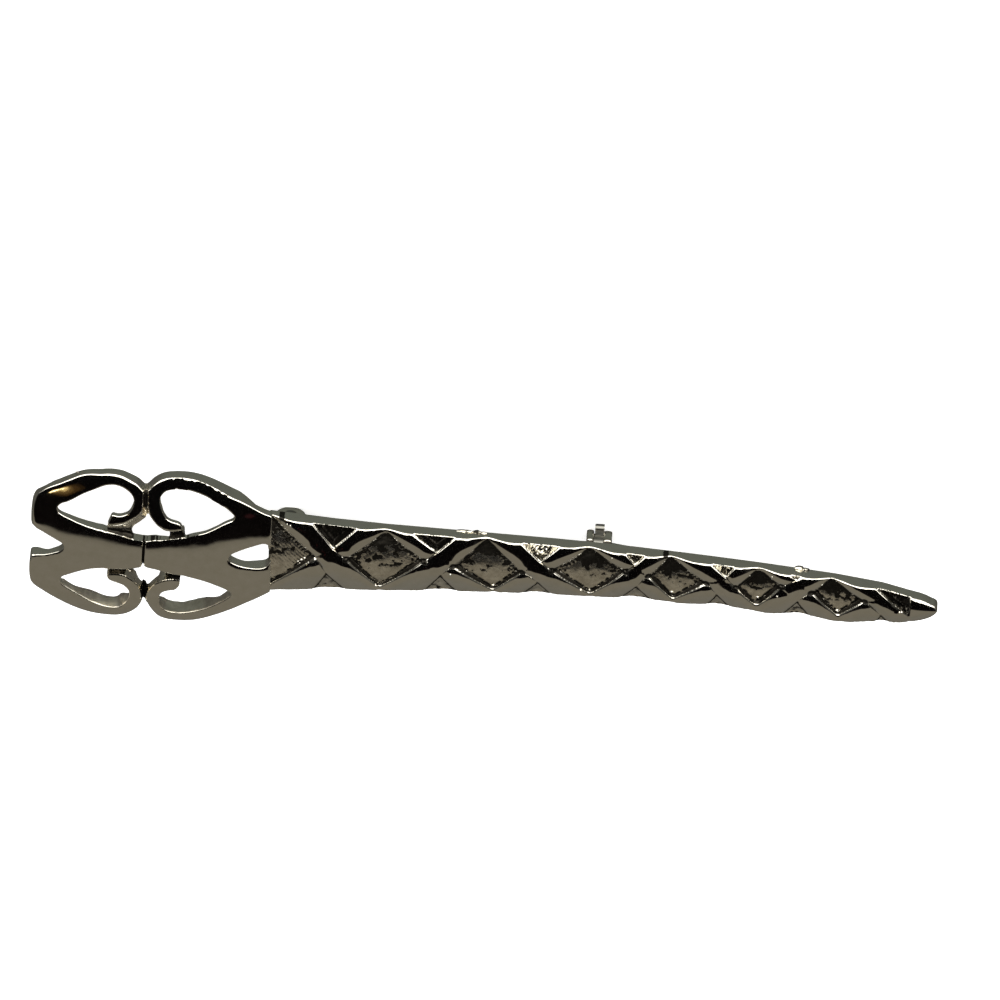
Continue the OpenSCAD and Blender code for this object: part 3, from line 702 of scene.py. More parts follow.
def make_hilt():
    outline = [closed_curve(l) for l in (OUTER, UPPER_OUTER_HOLE, UPPER_INNER_HOLE, LOWER_OUTER_HOLE,
                                         LOWER_INNER_HOLE, UPPER_GAP, LOWER_GAP)]
    inner = [resample(spline(l, 8), 0.07, closed=False) for l in
             (UPPER_OUTER_SCROLL, UPPER_INNER_SCROLL, BAR_TOP, BAR_LOW, LOWER_OUTER_SCROLL, LOWER_INNER_SCROLL)]
    # front edges: everything but the feet of the slopes beside the scrolls
    fronts = [np.vstack([l, l[:1]]) for l in outline[:5]]
    fronts = [resample(l, 0.02, closed=False) for l in fronts]
    front = near(fronts + inner, closed=False)
    to_scroll = {k: near([inner[k]], closed=False) for k in (0, 1, 4, 5)}
    to_top, to_low = near([inner[2]], closed=False), near([inner[3]], closed=False)
    h = 0.06
    xs = np.arange(-49.5, -22.6, h)
    vs = np.arange(-10.1, 10.11, h)
    gx, gv = np.meshgrid(xs, vs)
    solid = inside(gx.ravel(), gv.ravel(), outline).reshape(gx.shape)
    d = np.full(gx.shape, -0.3)
    d[solid] = front(gx[solid], gv[solid])
    rim = near(outline)
    lines = []
    for level, step in ((0.035, 0.09), (0.08, 0.1), (0.14, 0.11), (0.22, 0.13), (0.32, 0.16), (0.5, 0.2)):
        for l in level_lines(-d, xs[0], vs[0], h, -level):
            l = resample(l, step)
            ok = inside(l[:, 0], l[:, 1], outline)
            ok[ok] = rim(l[ok, 0], l[ok, 1]) > 0.02
            if ok.all():
                lines.append((l, True))
            else:
                for i in np.nonzero(ok & np.roll(ok, -1))[0]:
                    lines.append((np.array([l[i], l[(i + 1) % len(l)]]), False))
    for l in inner:
        ok = inside(l[:, 0], l[:, 1], outline)
        ok[ok] = rim(l[ok, 0], l[ok, 1]) > 0.015
        for i in np.nonzero(ok[:-1] & ok[1:])[0]:
            lines.append((l[i:i + 2], False))
    pts = []
    for k, y in enumerate(np.arange(-10, 10, 0.2)):
        x = np.arange(-49.2, -22.9, 0.23) + (k % 2) * 0.115
        pts.append(np.column_stack([x, np.full(len(x), y)]))
    for off in (-0.5, -0.38, -0.3, -0.24, -0.18, -0.12, -0.06, 0.0, 0.06, 0.12, 0.18, 0.24, 0.3, 0.38, 0.5):
        y = np.arange(-10, 10, 0.1)
        pts.append(np.column_stack([WAIST_X + 0.15 + 0.02 * np.clip(y, -2, 2) + off, y]))
    pts = np.vstack(pts)
    i = np.clip(np.round((pts[:, 0] - xs[0]) / h).astype(int), 0, len(xs) - 1)
    j = np.clip(np.round((pts[:, 1] - vs[0]) / h).astype(int), 0, len(vs) - 1)
    depth = d[j, i]
    groove = np.abs(pts[:, 0] - WAIST_X - 0.1) < 0.6
    pts = pts[(depth > 0.56) | (groove & (depth > 0.06)) | ((depth > 0.05) & (depth < 0.56) & in_webs(pts[:, 0], pts[:, 1]))]
    xy, tris = triangulate(outline, lines, pts)
    x, v = xy[:, 0], xy[:, 1]
    a = np.abs(v)
    on_rim = rim(x, v) < 0.012
    dd = front(x, v)
    dd[on_rim & (dd < 0.02)] = 0.0
    z0 = hilt_dome(x, v) - 0.24 * np.exp(-(((x + 39.4) / 2.3) ** 4)) * smooth(8.4, 4.4, a) * smooth(2.4, 3.2, a)
    # a broader rounding on the upper half; the lower edges are sharper and only turn down a little
    low_side = smooth(-1.0, -1.6, v) * (1 - smooth(-44.9, -45.6, x) * smooth(-2.9, -2.2, v))
    z = z0 - 0.04 * (1 - low_side) * (1 - np.minimum(dd, 0.6) / 0.6) ** 2 - 0.05 * low_side * (1 - np.minimum(dd, 0.24) / 0.24) ** 2
    uneven = noise(x * 0.8, v * 0.8, 21) - 0.5
    r = 0.10 + 0.09 * uneven
    r = r + 0.12 * smooth(7.2, 8.2, v) * smooth(-43.5, -40.5, x) * smooth(-24.5, -27.0, x)
    broken = smooth(-34.8, -33.6, x) * smooth(-27.0, -28.0, x) * smooth(4.5, 6.5, v)
    r = r * (1 - broken) + broken * 0.22 * smooth(0.35, 0.6, noise(x * 3.0, v * 0.7, 24))
    r = r - 0.09 * (smooth(1.2, 1.6, v) * smooth(3.4, 2.8, v) * smooth(-40.9, -40.2, x) * smooth(-27, -29, x))
    r = r + 0.25 * smooth(-48.1, -48.7, x)
    r = np.maximum(r * (1 - low_side) + 0.02 * low_side, 0.02)
    e = np.minimum(dd, r)
    z = z - (r - np.sqrt(np.maximum(r * r - (r - e) ** 2, 0))) * 0.9
    wear_and_shade = np.zeros((len(x), 3))
    # low metal between the scrolls and the bar, painted dark towards the bar as painted shade
    top, low = to_top(x, v), to_low(x, v)
    zones = web_zones()
    s = to_scroll[0](x, v)
    slope = z0 - 0.07 - 0.42 * np.minimum(s, 1.3)
    web = np.maximum(slope, z0 - 0.1 - 3.0 * top)
    q = zones[0](x, v)
    z = np.where(q & (s > 0.01), np.minimum(web, z), z)
    wear_and_shade[:, 0] = np.where(q, 0.25 + 0.5 * smooth(0.9, 0.55, top) * smooth(0.3, 0.6, s), 0)
    wear_and_shade[:, 1] = np.where(q, 0.42 + 0.4 * smooth(0.62, 0.35, top) * smooth(0.3, 0.6, s), 0)
    for zone, k, bar, floor in ((1, 1, top, 1.45), (2, 4, low, 0.95), (3, 5, low, 0.95)):
        s = to_scroll[k](x, v)
        q = zones[zone](x, v)
        web = smax(smax(z0 - 0.1 - 3.2 * s, z0 - 0.1 - 3.2 * bar, 0.05), floor + 0.12 * (noise(x * 2.4, v * 2.4, 31) - 0.5), 0.06)
        z = np.where(q & (s > 0.01), np.minimum(web, z), z)
        wear_and_shade[:, 0] = np.where(q, np.maximum(wear_and_shade[:, 0], 0.8), wear_and_shade[:, 0])
        wear_and_shade[:, 1] = np.where(q & (bar < 0.75), np.maximum(wear_and_shade[:, 1], 0.8), wear_and_shade[:, 1])
    # groove at the waist, and the low seams where the lobes meet, both painted dark as painted shade
    off = np.abs(x - (WAIST_X + 0.13 + 0.03 * np.clip(v, -2, 2)))
    waist = (v > -2.2) & (v < 2.2)
    z = z - 0.42 * (1 - smooth(0.04, 0.16, off)) * waist
    seam = ((v > 4.7) & (v < 8.4)) | ((v < -5.1) & (v > -7.4))
    dip = 1 - smooth(0.10, 0.30, np.abs(x + 36.60))
    z = z - np.where(seam, (0.5 + 0.2 * (noise(v * 2.3, x * 4.0, 33) - 0.5)) * dip, 0)
    wear_and_shade[:, 0] = np.where(seam, np.maximum(wear_and_shade[:, 0], dip), wear_and_shade[:, 0])
    wear_and_shade[:, 1] = np.maximum(wear_and_shade[:, 1], np.where(seam, 0.85 * dip * (smooth(5.2, 5.8, a) * smooth(8.1, 7.5, a) + (v < 0)), 0))
    wear_and_shade[:, 0] = np.where(waist & (off < 0.12), 0.8, wear_and_shade[:, 0])
    wear_and_shade[:, 1] = np.where(waist & (off < 0.12), 0.8, wear_and_shade[:, 1])
    # hand polishing, and tool marks along the upper edge of the inner lobe
    z = z + 0.006 * (noise(x * 0.7 + 3, v * 0.7, 1) - 0.5) + 0.001 * (noise(x * 2.6, v * 2.6, 2) - 0.5)
    chatter = smooth(0.5, 0.25, dd) * smooth(8.6, 9.1, v) * smooth(-34.5, -33.0, x) * smooth(-29.0, -30.5, x)
    z = z + (0.030 * chatter + 0.008 * smooth(0.4, 0.1, dd)) * (noise(x * 3.6 + v * 1.2, v * 5.0, 23) - 0.5)
    z = np.maximum(z, 0.35)
    hollow = 0.72 + 0.5 * smooth(-42, -35, x)
    edge_up = smooth(1.2, 2.2, v) * smooth(6.2, 4.6, v)
    hollow = hollow + edge_up * (0.2 + 0.45 * smooth(-36.0, -33.0, x))
    z_back = hollow * smooth(7.9, 6.2, a) * smooth(-48.6, -46.8, x)
    at_blade = smooth(-26.0, -24.0, x)
    z_back = z_back * (1 - at_blade) + np.minimum(z_back, 0.75 + 0.3 * smooth(4.5, 6.0, v)) * at_blade
    # the back keeps clear of the surface, more so under the thin scrolls
    z_back = np.minimum(z_back, z - 0.42)
    scroll = smooth(2.9, 3.3, v) * smooth(5.9, 5.2, v) * ((x > -40.8) & (x < -32.4))
    z_back = np.where(scroll > 0, np.maximum(z_back, (z - 0.5) * scroll + z_back * (1 - scroll)), z_back)
    z_back = np.maximum(z_back, 0.0)
    # outward slope of the walls inside the lower holes and beside the lower scrolls
    lean = np.zeros((len(x), 2))
    nxt = dict(border(tris))
    prv = {b_: a_ for a_, b_ in nxt.items()}
    ids = np.array(sorted(nxt))
    along = xy[[nxt[k] for k in ids]] - xy[[prv[k] for k in ids]]
    along /= np.maximum(np.hypot(along[:, 0], along[:, 1]), 1e-9)[:, None]
    out = np.column_stack([along[:, 1], -along[:, 0]])
    vi, xi = v[ids], x[ids]
    amount = 0.55 * smooth(-4.9, -5.8, vi) * smooth(-8.9, -8.7, vi) * (xi < WAIST_X - 1.0) + \
        0.34 * smooth(-4.9, -5.8, vi) * smooth(-8.9, -8.7, vi) * (xi > WAIST_X + 1.3)
    facing = smooth(0.1, 0.6, out[:, 1])
    amount = np.minimum(amount * (0.8 + 0.5 * noise(xi * 1.3, vi * 1.3, 25)), np.where(xi < WAIST_X, 0.40, 0.32) * (z[ids] - z_back[ids]))
    lean[ids] = out * (amount * facing)[:, None]
    inner_low = (amount > 0.05) & (facing > 0.3)
    wear_and_shade[ids, 0] = np.where(inner_low, 0.75, wear_and_shade[ids, 0])
    wear_and_shade[:, 2] = smooth(0.05, 0.0, dd)
    ob = slab("hilt", np.column_stack([x, v + HILT_Y]), tris, z + BACK, wear_and_shade, z_back + BACK, lean=lean, rough=0.12,
              rings=(0.1, 0.24, 0.38, 0.52, 0.68, 0.85))
    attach(ob, "brooch")
    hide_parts("body")
    print("hilt triangles", len(ob.data.polygons))
    return ob


def web_zones():
    """Tests for the four areas of low metal between the scrolls and the bar."""
    top, low = list(BAR_TOP), list(BAR_LOW)
    mid_top = [p for p in top if p[0] <= -36.3], [p for p in top if p[0] >= -36.74]
    mid_low = [p for p in low if p[0] <= -36.68], [p for p in low if p[0] >= -36.68]
    areas = [
        UPPER_OUTER_SCROLL + [(-36.6, 5.9), (-36.3, 4.8), (-36.3, 1.72)] + mid_top[0][::-1],
        UPPER_INNER_SCROLL + [(-32.22, 2.58)] + mid_top[1][::-1] + [(-36.5, 4.8)],
        mid_low[0] + [(-36.6, -6.6)] + LOWER_OUTER_SCROLL[::-1],
        mid_low[1] + LOWER_INNER_SCROLL[::-1] + [(-36.6, -6.6)]]
    return [lambda x, v, l=np.array(area, float): inside(x, v, [l]) for area in areas]


def in_webs(x, v):
    out = np.zeros(len(x), bool)
    for zone in web_zones():
        out |= zone(x, v)
    return out


make_hilt()


# ----------------------------------------------------------------- blade ----
ROOT_X, TIP_X = -23.2, 49.15
WIDTH = [[-24, 5.1], [-23.2, 5.05], [-16, 4.4], [-10.6, 4.05], [0, 3.65], [12, 3.25], [20, 3.05],
         [30, 2.88], [38, 2.75], [43, 2.45], [46, 1.98]]
# Corners of the diamond cells in (x, across from the middle): left, top, right, bottom; corner rounding
CELLS = [
    [(-28.0, 0.5), (-23.1, 5.1), (-18.1, 0.5), (-23.1, -4.3), 0.3],
    [(-14.85, 0.4), (-10.64, 3.78), (-6.42, 0.66), (-11.15, -3.85), 0.5],
    [(-3.3, 0.2), (0.25, 3.52), (4.22, -0.04), (1.1, -3.45), 0.45],
    [(7.4, 0.32), (11.39, 3.14), (15.35, 0.8), (11.63, -3.12), 0.45],
    [(17.78, 0.48), (20.15, 2.88), (24.1, 0.3), (20.5, -2.86), 0.45],
    [(27.25, 0.1), (29.6, 2.6), (32.25, 0.95), (29.6, -2.5), 0.8],
    [(35.42, 0.6), (37.57, 2.46), (41.26, 0.28), (38.42, -2.48), 0.4]]
# Crossings: sign of the upper ribbon's slope; x of the ends of the edge triangle above and its tip (x, across);
# the same for the one below
CROSSINGS = [
    [-1, (-18.6, -13.75), (-16.2, 1.67), (-18.5, -14.7), (-16.92, -1.6)],
    [1, (-7.75, -3.1), (-5.06, 1.85), (-6.5, -2.6), (-4.62, -1.0)],
    [-1, (4.0, 8.15), (6.15, 1.4), (4.1, 7.6), (5.97, -1.3)],
    [1, (15.3, 17.4), (16.31, 1.8), (14.7, 18.4), (16.54, -0.97)],
    [-1, (24.5, 27.1), (26.2, 1.42), (24.1, 26.9), (25.31, -1.0)],
    [1, (33.0, 34.4), (33.72, 2.1), (32.4, 35.5), (33.97, -0.7)],
    [-1, (42.4, 46.2), (46.05, -1.05), (42.5, 44.0), (43.1, -1.35)]]
# A lump in the last triangle
TIP_LUMP = [(45.1, 0.55), (45.7, 1.1), (46.2, 0.65), (45.75, 0.1), 0.35]
# Small round beads of metal: [x, across, radius]
BEADS = [[-11.42, -3.5, 0.17], [1.14, -2.85, 0.17], [10.69, -2.4, 0.15], [11.62, -2.75, 0.16], [20.42, -1.9, 0.17],
         [29.72, -1.3, 0.15], [38.4, -1.95, 0.19], [-3.5, -0.8, 0.12], [-6.1, 0.62, 0.09], [13.8, 2.45, 0.08],
         [15.45, 0.45, 0.1], [31.8, -0.3, 0.1], [31.13, 2.0, 0.08], [-21.3, 4.35, 0.09], [-20.95, 4.25, 0.1],
         [-19.65, -0.35, 0.16], [-19.3, -0.1, 0.12], [-20.0, -0.6, 0.1]]
EDGE_H = 1.2


def half_width(x):
    p = np.array(WIDTH)
    w = np.interp(x, p[:, 0], p[:, 1])
    tip = 1.98 * np.sqrt(np.maximum(1 - np.clip((x - 46) / (TIP_X - 46), 0, 1) ** 1.55, 0))
    return np.where(x > 46, tip, w)


def top_width(x):
    """Half width on the upper side, a little less towards the tip."""
    return half_width(x) - np.interp(x, [8, 18, 30, 38, 43.5, 46.6, 48.4, TIP_X], [0, 0.13, 0.17, 0.32, 0.44, 0.60, 0.42, 0.0])


def bend(x):
    return -0.042 * ((x - 17) + np.sqrt((x - 17) ** 2 + 49))


def low_dip(x):
    """The lower edge draws in between the ribbons."""
    c = [-16.6, -4.55, 5.85, 16.55, 25.5, 33.95, 43.25]
    w = [2.3, 2.2, 2.1, 2.1, 1.7, 1.8, 1.1]
    out = np.zeros(np.shape(x))
    for a, b in zip(c, w):
        s = np.abs(x - a) / b
        out = np.maximum(out, np.where(s < 1, (1 + np.cos(np.pi * s)) / 2, 0))
    for a, b, w in ((-11.0, 0.16, 3.6), (12.0, 0.12, 2.6), (21.3, 0.20, 2.4), (31.0, 0.34, 2.4), (39.0, 0.50, 2.8), (45.0, 0.24, 1.6)):
        out = out - b / 0.13 * np.exp(-((x - a) / w) ** 2)
    return 0.13 * out - 0.05 * smooth(46.5, 44, x)


def low_width(x):
    return half_width(x) - low_dip(x)


def crown(x):
    t = (x - ROOT_X) / 72.4
    c = 2.45 - 0.7 * t
    return np.where(x < 46, c, EDGE_H + 0.05 + (c - EDGE_H - 0.05) * np.sqrt(np.maximum(0, 1 - ((x - 46) / 3.4) ** 2)))


def blade_dome(x, v):
    w = np.where(v > 0, half_width(x), np.maximum(half_width(x), low_width(x)))
    t = np.clip(v / np.maximum(w, 0.3), -1, 1)
    t = np.sqrt(t * t + 0.03)
    return EDGE_H + (crown(x) - EDGE_H) * (1 - t ** 1.6)


def poly_side(x, v, corners, k):
    """Distance outside a convex polygon, its corners rounded off; also how far along its nearest side."""
    c = np.array(corners)
    mid = c.mean(0)
    best, along, d = None, None, None
    for i in range(len(c)):
        a, b = c[i], c[(i + 1) % len(c)]
        t = (b - a) / np.hypot(*(b - a))
        n = np.array([t[1], -t[0]])
        if np.dot(n, mid - a) > 0:
            n = -n
        di = (x - a[0]) * n[0] + (v - a[1]) * n[1]
        si = (x - a[0]) * t[0] + (v - a[1]) * t[1] + 10 * i
        if d is None:
            d, best, along = di, di.copy(), si
        else:
            d = smax(d, di, k)
            along = np.where(di > best, si, along)
            best = np.maximum(best, di)
    return d, along


def seg_dist(x, v, a, b):
    a, b = np.array(a), np.array(b)
    ab = b - a
    t = np.clip(((x - a[0]) * ab[0] + (v - a[1]) * ab[1]) / np.dot(ab, ab), 0, 1)
    return np.hypot(x - a[0] - t * ab[0], v - a[1] - t * ab[1])


def outward(x, v, a, b, mid):
    """Distance beyond the line a-b, away from mid."""
    a, b, mid = map(np.array, (a, b, mid))
    t = (b - a) / np.hypot(*(b - a))
    n = np.array([t[1], -t[0]])
    if np.dot(n, mid - a) > 0:
        n = -n
    return (x - a[0]) * n[0] + (v - a[1]) * n[1]


def quads():
    """The four corners of each crossing: top, right, bottom, left."""
    out = []
    for i, c in enumerate(CROSSINGS):
        if i + 1 < len(CELLS):
            out.append((c[0], c[2], CELLS[i + 1][0], c[4], CELLS[i][2]))
        else:
            out.append((c[0], (43.75, 0.85), (45.2, -0.5), c[4], CELLS[i][2]))
    return out


QUADS = quads()


def top_triangle(c):
    (x0, x1), tip = c[1], c[2]
    return [(x0, float(top_width(x0)) - 0.02), (x1, float(top_width(x1)) - 0.02), tip]


def inner_triangle(c):
    (x0, x1), (tx, tv) = c[1], c[2]
    return [(x0 + 0.32, float(top_width(x0 + 0.32)) - 0.22), (x1 - 0.32, float(top_width(x1 - 0.32)) - 0.22), (tx - 0.1 * (x1 - x0 > 3.0), tv + 0.28)]


def low_triangle(c):
    (x0, x1), tip = c[3], c[4]
    return [(x0, -float(half_width(x0)) - 0.3), (x1, -float(half_width(x1)) - 0.3), tip]


def blade_front(x, v, edge):
    """Height of the front above the back, and wear with painted shade, at points (x, across); edge is the distance from
    the outline.
    """
    dome = blade_dome(x, v)
    cells = [poly_side(x, v, c[:4], c[4]) for c in CELLS]
    tops = [poly_side(x, v, top_triangle(c), 0.12) for c in CROSSINGS]
    lows = [poly_side(x, v, low_triangle(c), 0.15) for c in CROSSINGS]
    tipc = poly_side(x, v, TIP_LUMP[:4], TIP_LUMP[4])
    opening = np.full(x.shape, 9.0)
    for d, _ in cells + tops + lows + [tipc]:
        opening = np.minimum(opening, d)
    ribbon = opening.copy()
    lift = np.zeros(x.shape)
    shade = np.zeros(x.shape)
    stain_and_shade = np.zeros(x.shape)
    for sign, t, r, b, l in QUADS:
        mid = np.mean([t, r, b, l], axis=0)
        tr = outward(x, v, t, r, mid)
        rb = outward(x, v, r, b, mid)
        bl = outward(x, v, b, l, mid)
        lt = outward(x, v, l, t, mid)
        local = np.hypot(x - mid[0], v - mid[1]) < 5.5
        quad = (tr < 0) & (rb < 0) & (bl < 0) & (lt < 0)
        if sign < 0:   # upper ribbon falls to the right: its sides are top-right and bottom-left
            s1, s2, o1, o2 = (t, r), (b, l), (l, t), (r, b)
            out1, out2, open1, open2 = tr, bl, lt, rb
        else:
            s1, s2, o1, o2 = (l, t), (r, b), (t, r), (b, l)
            out1, out2, open1, open2 = lt, rb, tr, bl
        d1, d2 = seg_dist(x, v, *s1), seg_dist(x, v, *s2)
        ribbon = np.where(quad, np.minimum(d1, d2), ribbon)
        lift = np.where(quad, 0.05, lift)
        for out, o in ((open1, o1), (open2, o2)):
            biggest = local & (out > 0) & (out >= np.maximum(out1, out2)) & (opening > 0)
            lift = np.where(biggest, 0.05 * np.exp(-(seg_dist(x, v, *o) / 1.0) ** 2), lift)
        # painted shade: a dark, dull line where the lower ribbon dips under the upper one
        for out, dd, other in ((out1, d1, out2), (out2, d2, out1)):
            under = local & (out > 0) & (out > open1) & (out > open2) & (out > other) & (opening > -0.02)
            dip = 0.13 * (1 - np.minimum(dd, 1.0) / 1.0) ** 2
            lift = np.where(under, -dip, lift)
            shade = np.where(under, np.maximum(shade, 0.5 * np.exp(-(dd / 0.09) ** 2)), shade)
            stain_and_shade = np.where(under, np.maximum(stain_and_shade, 0.9 * np.exp(-(dd / 0.07) ** 2)), stain_and_shade)
    # ribbons round off towards the cells and each other, and hardly at all towards the edge triangles
    w = 1.0
    reach = 0.85 + 0.55 * smooth(-0.6, 0.6, v)
    to_cell = np.full(x.shape, 9.0)
    for d, _ in cells:
        to_cell = np.minimum(to_cell, d)
    to_edge = np.full(x.shape, 9.0)
    for d, _ in tops + lows:
        to_edge = np.minimum(to_edge, d)
    drop = 0.25 * reach * (1 - np.clip(to_cell, 0, reach) / reach) ** 2
    drop = np.maximum(drop, 0.06 * (1 - np.clip(to_edge, 0, w) / w) ** 2)
    for sign, t, r, b, l in QUADS:
        mid = np.mean([t, r, b, l], axis=0)
        quad = (outward(x, v, t, r, mid) < 0) & (outward(x, v, r, b, mid) < 0) & (outward(x, v, b, l, mid) < 0) & (outward(x, v, l, t, mid) < 0)
        sides = ((t, r), (b, l)) if sign < 0 else ((l, t), (r, b))
        deep = np.zeros(x.shape)
        for side in sides:
            tip = t if t in side else b
            soft = smooth(0.0, 1.2, np.hypot(x - tip[0], v - tip[1]))
            deep = np.maximum(deep, (0.06 + 0.22 * soft) * (1 - np.minimum(seg_dist(x, v, *side), w) / w) ** 2)
        drop = np.where(quad, deep, drop)
    # the upper edge stands higher where the ribbons leave it
    rise = np.zeros(x.shape)
    for c in CELLS:
        rise = np.maximum(rise, 1 - smooth(0.4, 2.8, np.abs(x - c[1][0])))
    rise = (1 - rise) * smooth(44, 40, x)
    z = dome - drop + lift + 0.36 * rise * smooth(2.7, -0.1, top_width(x) - v)
    r = np.where((to_cell < 0.2) & (to_edge > 0.2), 0.075, 0.12)
    e = np.clip(np.where(opening > 0, opening, r), 0, r)
    z = z - (r - np.sqrt(np.maximum(r * r - (r - e) ** 2, 0))) * (opening >= 0) - np.where(opening < 0, r, 0) * 0.6
    dull = shade
    # diamond cells: sloping grooved walls down to a slightly domed floor
    rough = 0.022 * (noise(x * 1.5, v * 1.5, 5) - 0.5) + 0.014 * (noise(x * 4.1, v * 4.1, 6) - 0.5)
    for i, ((d, s), c) in enumerate(zip(cells, CELLS)):
        t = np.maximum(-d, 0)
        (lx, lv), (_, tv), (rx, rv), (_, bv) = c[:4]
        cx = (lx + rx) / 2 if i else -20.5
        centre = float(blade_dome(np.array(cx), np.array(0.0)))
        across = v - (lv + (rv - lv) * np.clip((x - lx) / (rx - lx), 0, 1))
        up = smooth(-0.25, 0.25, across)
        high = np.clip((v - bv) / (tv - bv), 0, 1)
        follow = (0.30, 0.34, 0.62, 0.45, 0.4, 0.45, 0.4)[i]
        floor = smin(centre - 0.80 + follow * (dome - centre), dome - 0.60, 0.1) + rough * (0.8 + 0.8 * high)
        slope = 0.66 * up + 2.9 * (1 - up)
        soft = np.sqrt(t * t + 0.03 ** 2) - 0.03
        wall = z - slope * soft
        width = np.maximum(z - floor, 0.05) / slope
        wob = 0.35 * (noise(x * 2.2, v * 2.2, 7 + i) - 0.5)
        left = (s < 9) & (up > 0.5) & (i not in (3, 4, 6))
        groove = smooth(0.06, 0.22, t) * (1 - smooth(width - 0.05, width + 0.3, t)) * up
        ticks = np.cos(2 * np.pi * (s + wob * 0.4 + 0.1 * t) / (0.40 + 0.04 * (i % 2)))
        rows = np.cos(2 * np.pi * (t + 0.10 * noise(s * 2.1, t * 0.5, 40 + i)) / 0.30)
        wall = wall + groove * np.where(left, 0.05 * rows + 0.02 * ticks, 0.085 * ticks)
        if i == 0:
            # the half cell beside the hilt is hatched all over
            hatch = np.cos(2 * np.pi * ((x + v) / math.sqrt(2) + 0.1 * wob) / 0.36)
            floor = floor + 0.018 * hatch * smooth(0.3, 0.9, t) * smooth(-2.2, -0.4, v) + 0.01 * hatch * smooth(-0.5, -2.0, v)
        # broken pits high on the floor, painted dark there as painted shade under the upper walls, and jagged ticks
        # where it meets the lower walls
        pits = noise(x * 1.7 + 3 * i, v * 1.9, 51) * 0.6 + noise(x * 4.3, v * 4.6 + 2 * i, 52) * 0.4
        dark = smooth(0.50, 0.66, pits + 0.34 * (high - 0.62)) * smooth(0.30, 0.55, high)
        floor = floor - 0.05 * dark * (noise(x * 5.1, v * 5.3, 53) - 0.2)
        jag = np.exp(-((t - width - 0.14) / 0.12) ** 2) * (1 - up) * (noise(s * 3.7, t * 2.0, 54 + i) > 0.45)
        floor = floor - 0.07 * jag
        inner = smax(wall, floor, 0.1)
        z = np.where(d < 0, inner, z)
        sink = smooth(0.0, 0.10, t) * (0.55 + 0.45 * smooth(width - 0.05, width + 0.2, t))
        dull = np.where(d < 0, np.maximum(dull, sink * 0.95), dull)
        # painted shade: a dark patch on the upper floor, dark lower walls and their ticks, dark groove valleys on the
        # upper walls and dark rounded corners
        upper_floor_shade = np.exp(-((x - c[1][0] - 0.1) / 1.0) ** 2 - ((v - tv + 1.15) / 0.85) ** 2) * (0.45 if i < 2 else 0.75)
        stained_and_shaded = 0.30 + 0.5 * dark + upper_floor_shade + 0.5 * jag + (1 - up) * 0.8 * smooth(0.04, 0.10, t) * (1 - smooth(width, width + 0.08, t)) \
            + up * groove * (0.2 + 0.7 * smooth(-0.2, 0.7, np.where(left, -rows, -ticks)))
        for corner in (c[0], c[2]):
            stained_and_shaded = np.maximum(stained_and_shaded, np.exp(-(np.hypot(x - corner[0], v - corner[1]) / 0.3) ** 2))
        stain_and_shade = np.where(d < 0.1, np.maximum(stain_and_shade, np.clip(np.where(d < 0, stained_and_shaded, stained_and_shaded - 0.35 * (stained_and_shaded < 0.75) - 0.3), 0, 0.95)), stain_and_shade)
    # painted shade over the corner glints of the cells, a corner beside the hilt and the right side of the last
    # triangle
    for c in CELLS[1:]:
        for corner in (c[0], c[2]):
            stain_and_shade = np.maximum(stain_and_shade, 0.95 * np.exp(-(np.hypot(x - corner[0], v - corner[1]) / 0.42) ** 4))
    stain_and_shade = np.maximum(stain_and_shade, 0.95 * np.exp(-(np.hypot(x + 18.6, v - 0.12) / 0.42) ** 4))
    stain_and_shade = np.maximum(stain_and_shade, 0.95 * np.exp(-(seg_dist(x, v, (46.1, 0.7), (46.05, -0.9)) / 0.17) ** 4))
    # edge triangles above: a ledge, then a hatched floor, painted dark inside and in the hatch valleys as painted shade
    for (d, s), c in zip(tops, CROSSINGS):
        t = np.maximum(-d, 0)
        hw = top_width(x)
        ledge = 0.93 + 0.05 * smooth(0.5, 2.2, hw - v)
        small = c[1][1] - c[1][0] < 1.6
        tri, _ = poly_side(x, v, inner_triangle(c), 0.1)
        ti = np.maximum(-tri, 0)
        hatch = np.cos(2 * np.pi * ((x * 0.75 - (v - c[2][1]) * 0.66) + 0.06 * noise(x * 3, v * 3, 8)) / 0.36)
        sparkle = 0.05 if c in CROSSINGS[2:6] else 0.0
        floor = 0.62 + 0.12 * (hw - v) + (0.045 + sparkle) * hatch + rough + sparkle * 2 * (noise(x * 4.5, v * 4.5, 61) - 0.5)
        pit = smax(ledge - 2.2 * (np.sqrt(ti * ti + 0.03 ** 2) - 0.03), floor, 0.06)
        level = np.where(tri < 0, pit, ledge) if not small else ledge + rough + 0.16 * (noise(x * 4.5, v * 4.5, 62) - 0.5)
        inner = smax(z - 3.2 * (np.sqrt(t * t + 0.04 ** 2) - 0.04), level, 0.05)
        z = np.where(d < 0, np.minimum(inner, z), z)
        dull = np.where(d < 0, np.maximum(dull, smooth(0.1, 0.25, ti) * 0.35), dull)
        east = smooth(-0.1, 0.3, x - c[2][0])
        if sparkle:
            stain_and_shade = np.where(d < 0, np.maximum(stain_and_shade, 0.30 - 0.25 * hatch), stain_and_shade)
        else:
            ridge = smooth(0.0, 0.8, hatch) * east * smooth(0.0, 0.3, ti)
            stain_and_shade = np.where(d < 0, np.maximum(stain_and_shade, smooth(0.04, 0.10, t) * (0.55 + 0.35 * east) + smooth(0.08, 0.2, ti) * 0.4 - 0.7 * ridge), stain_and_shade)
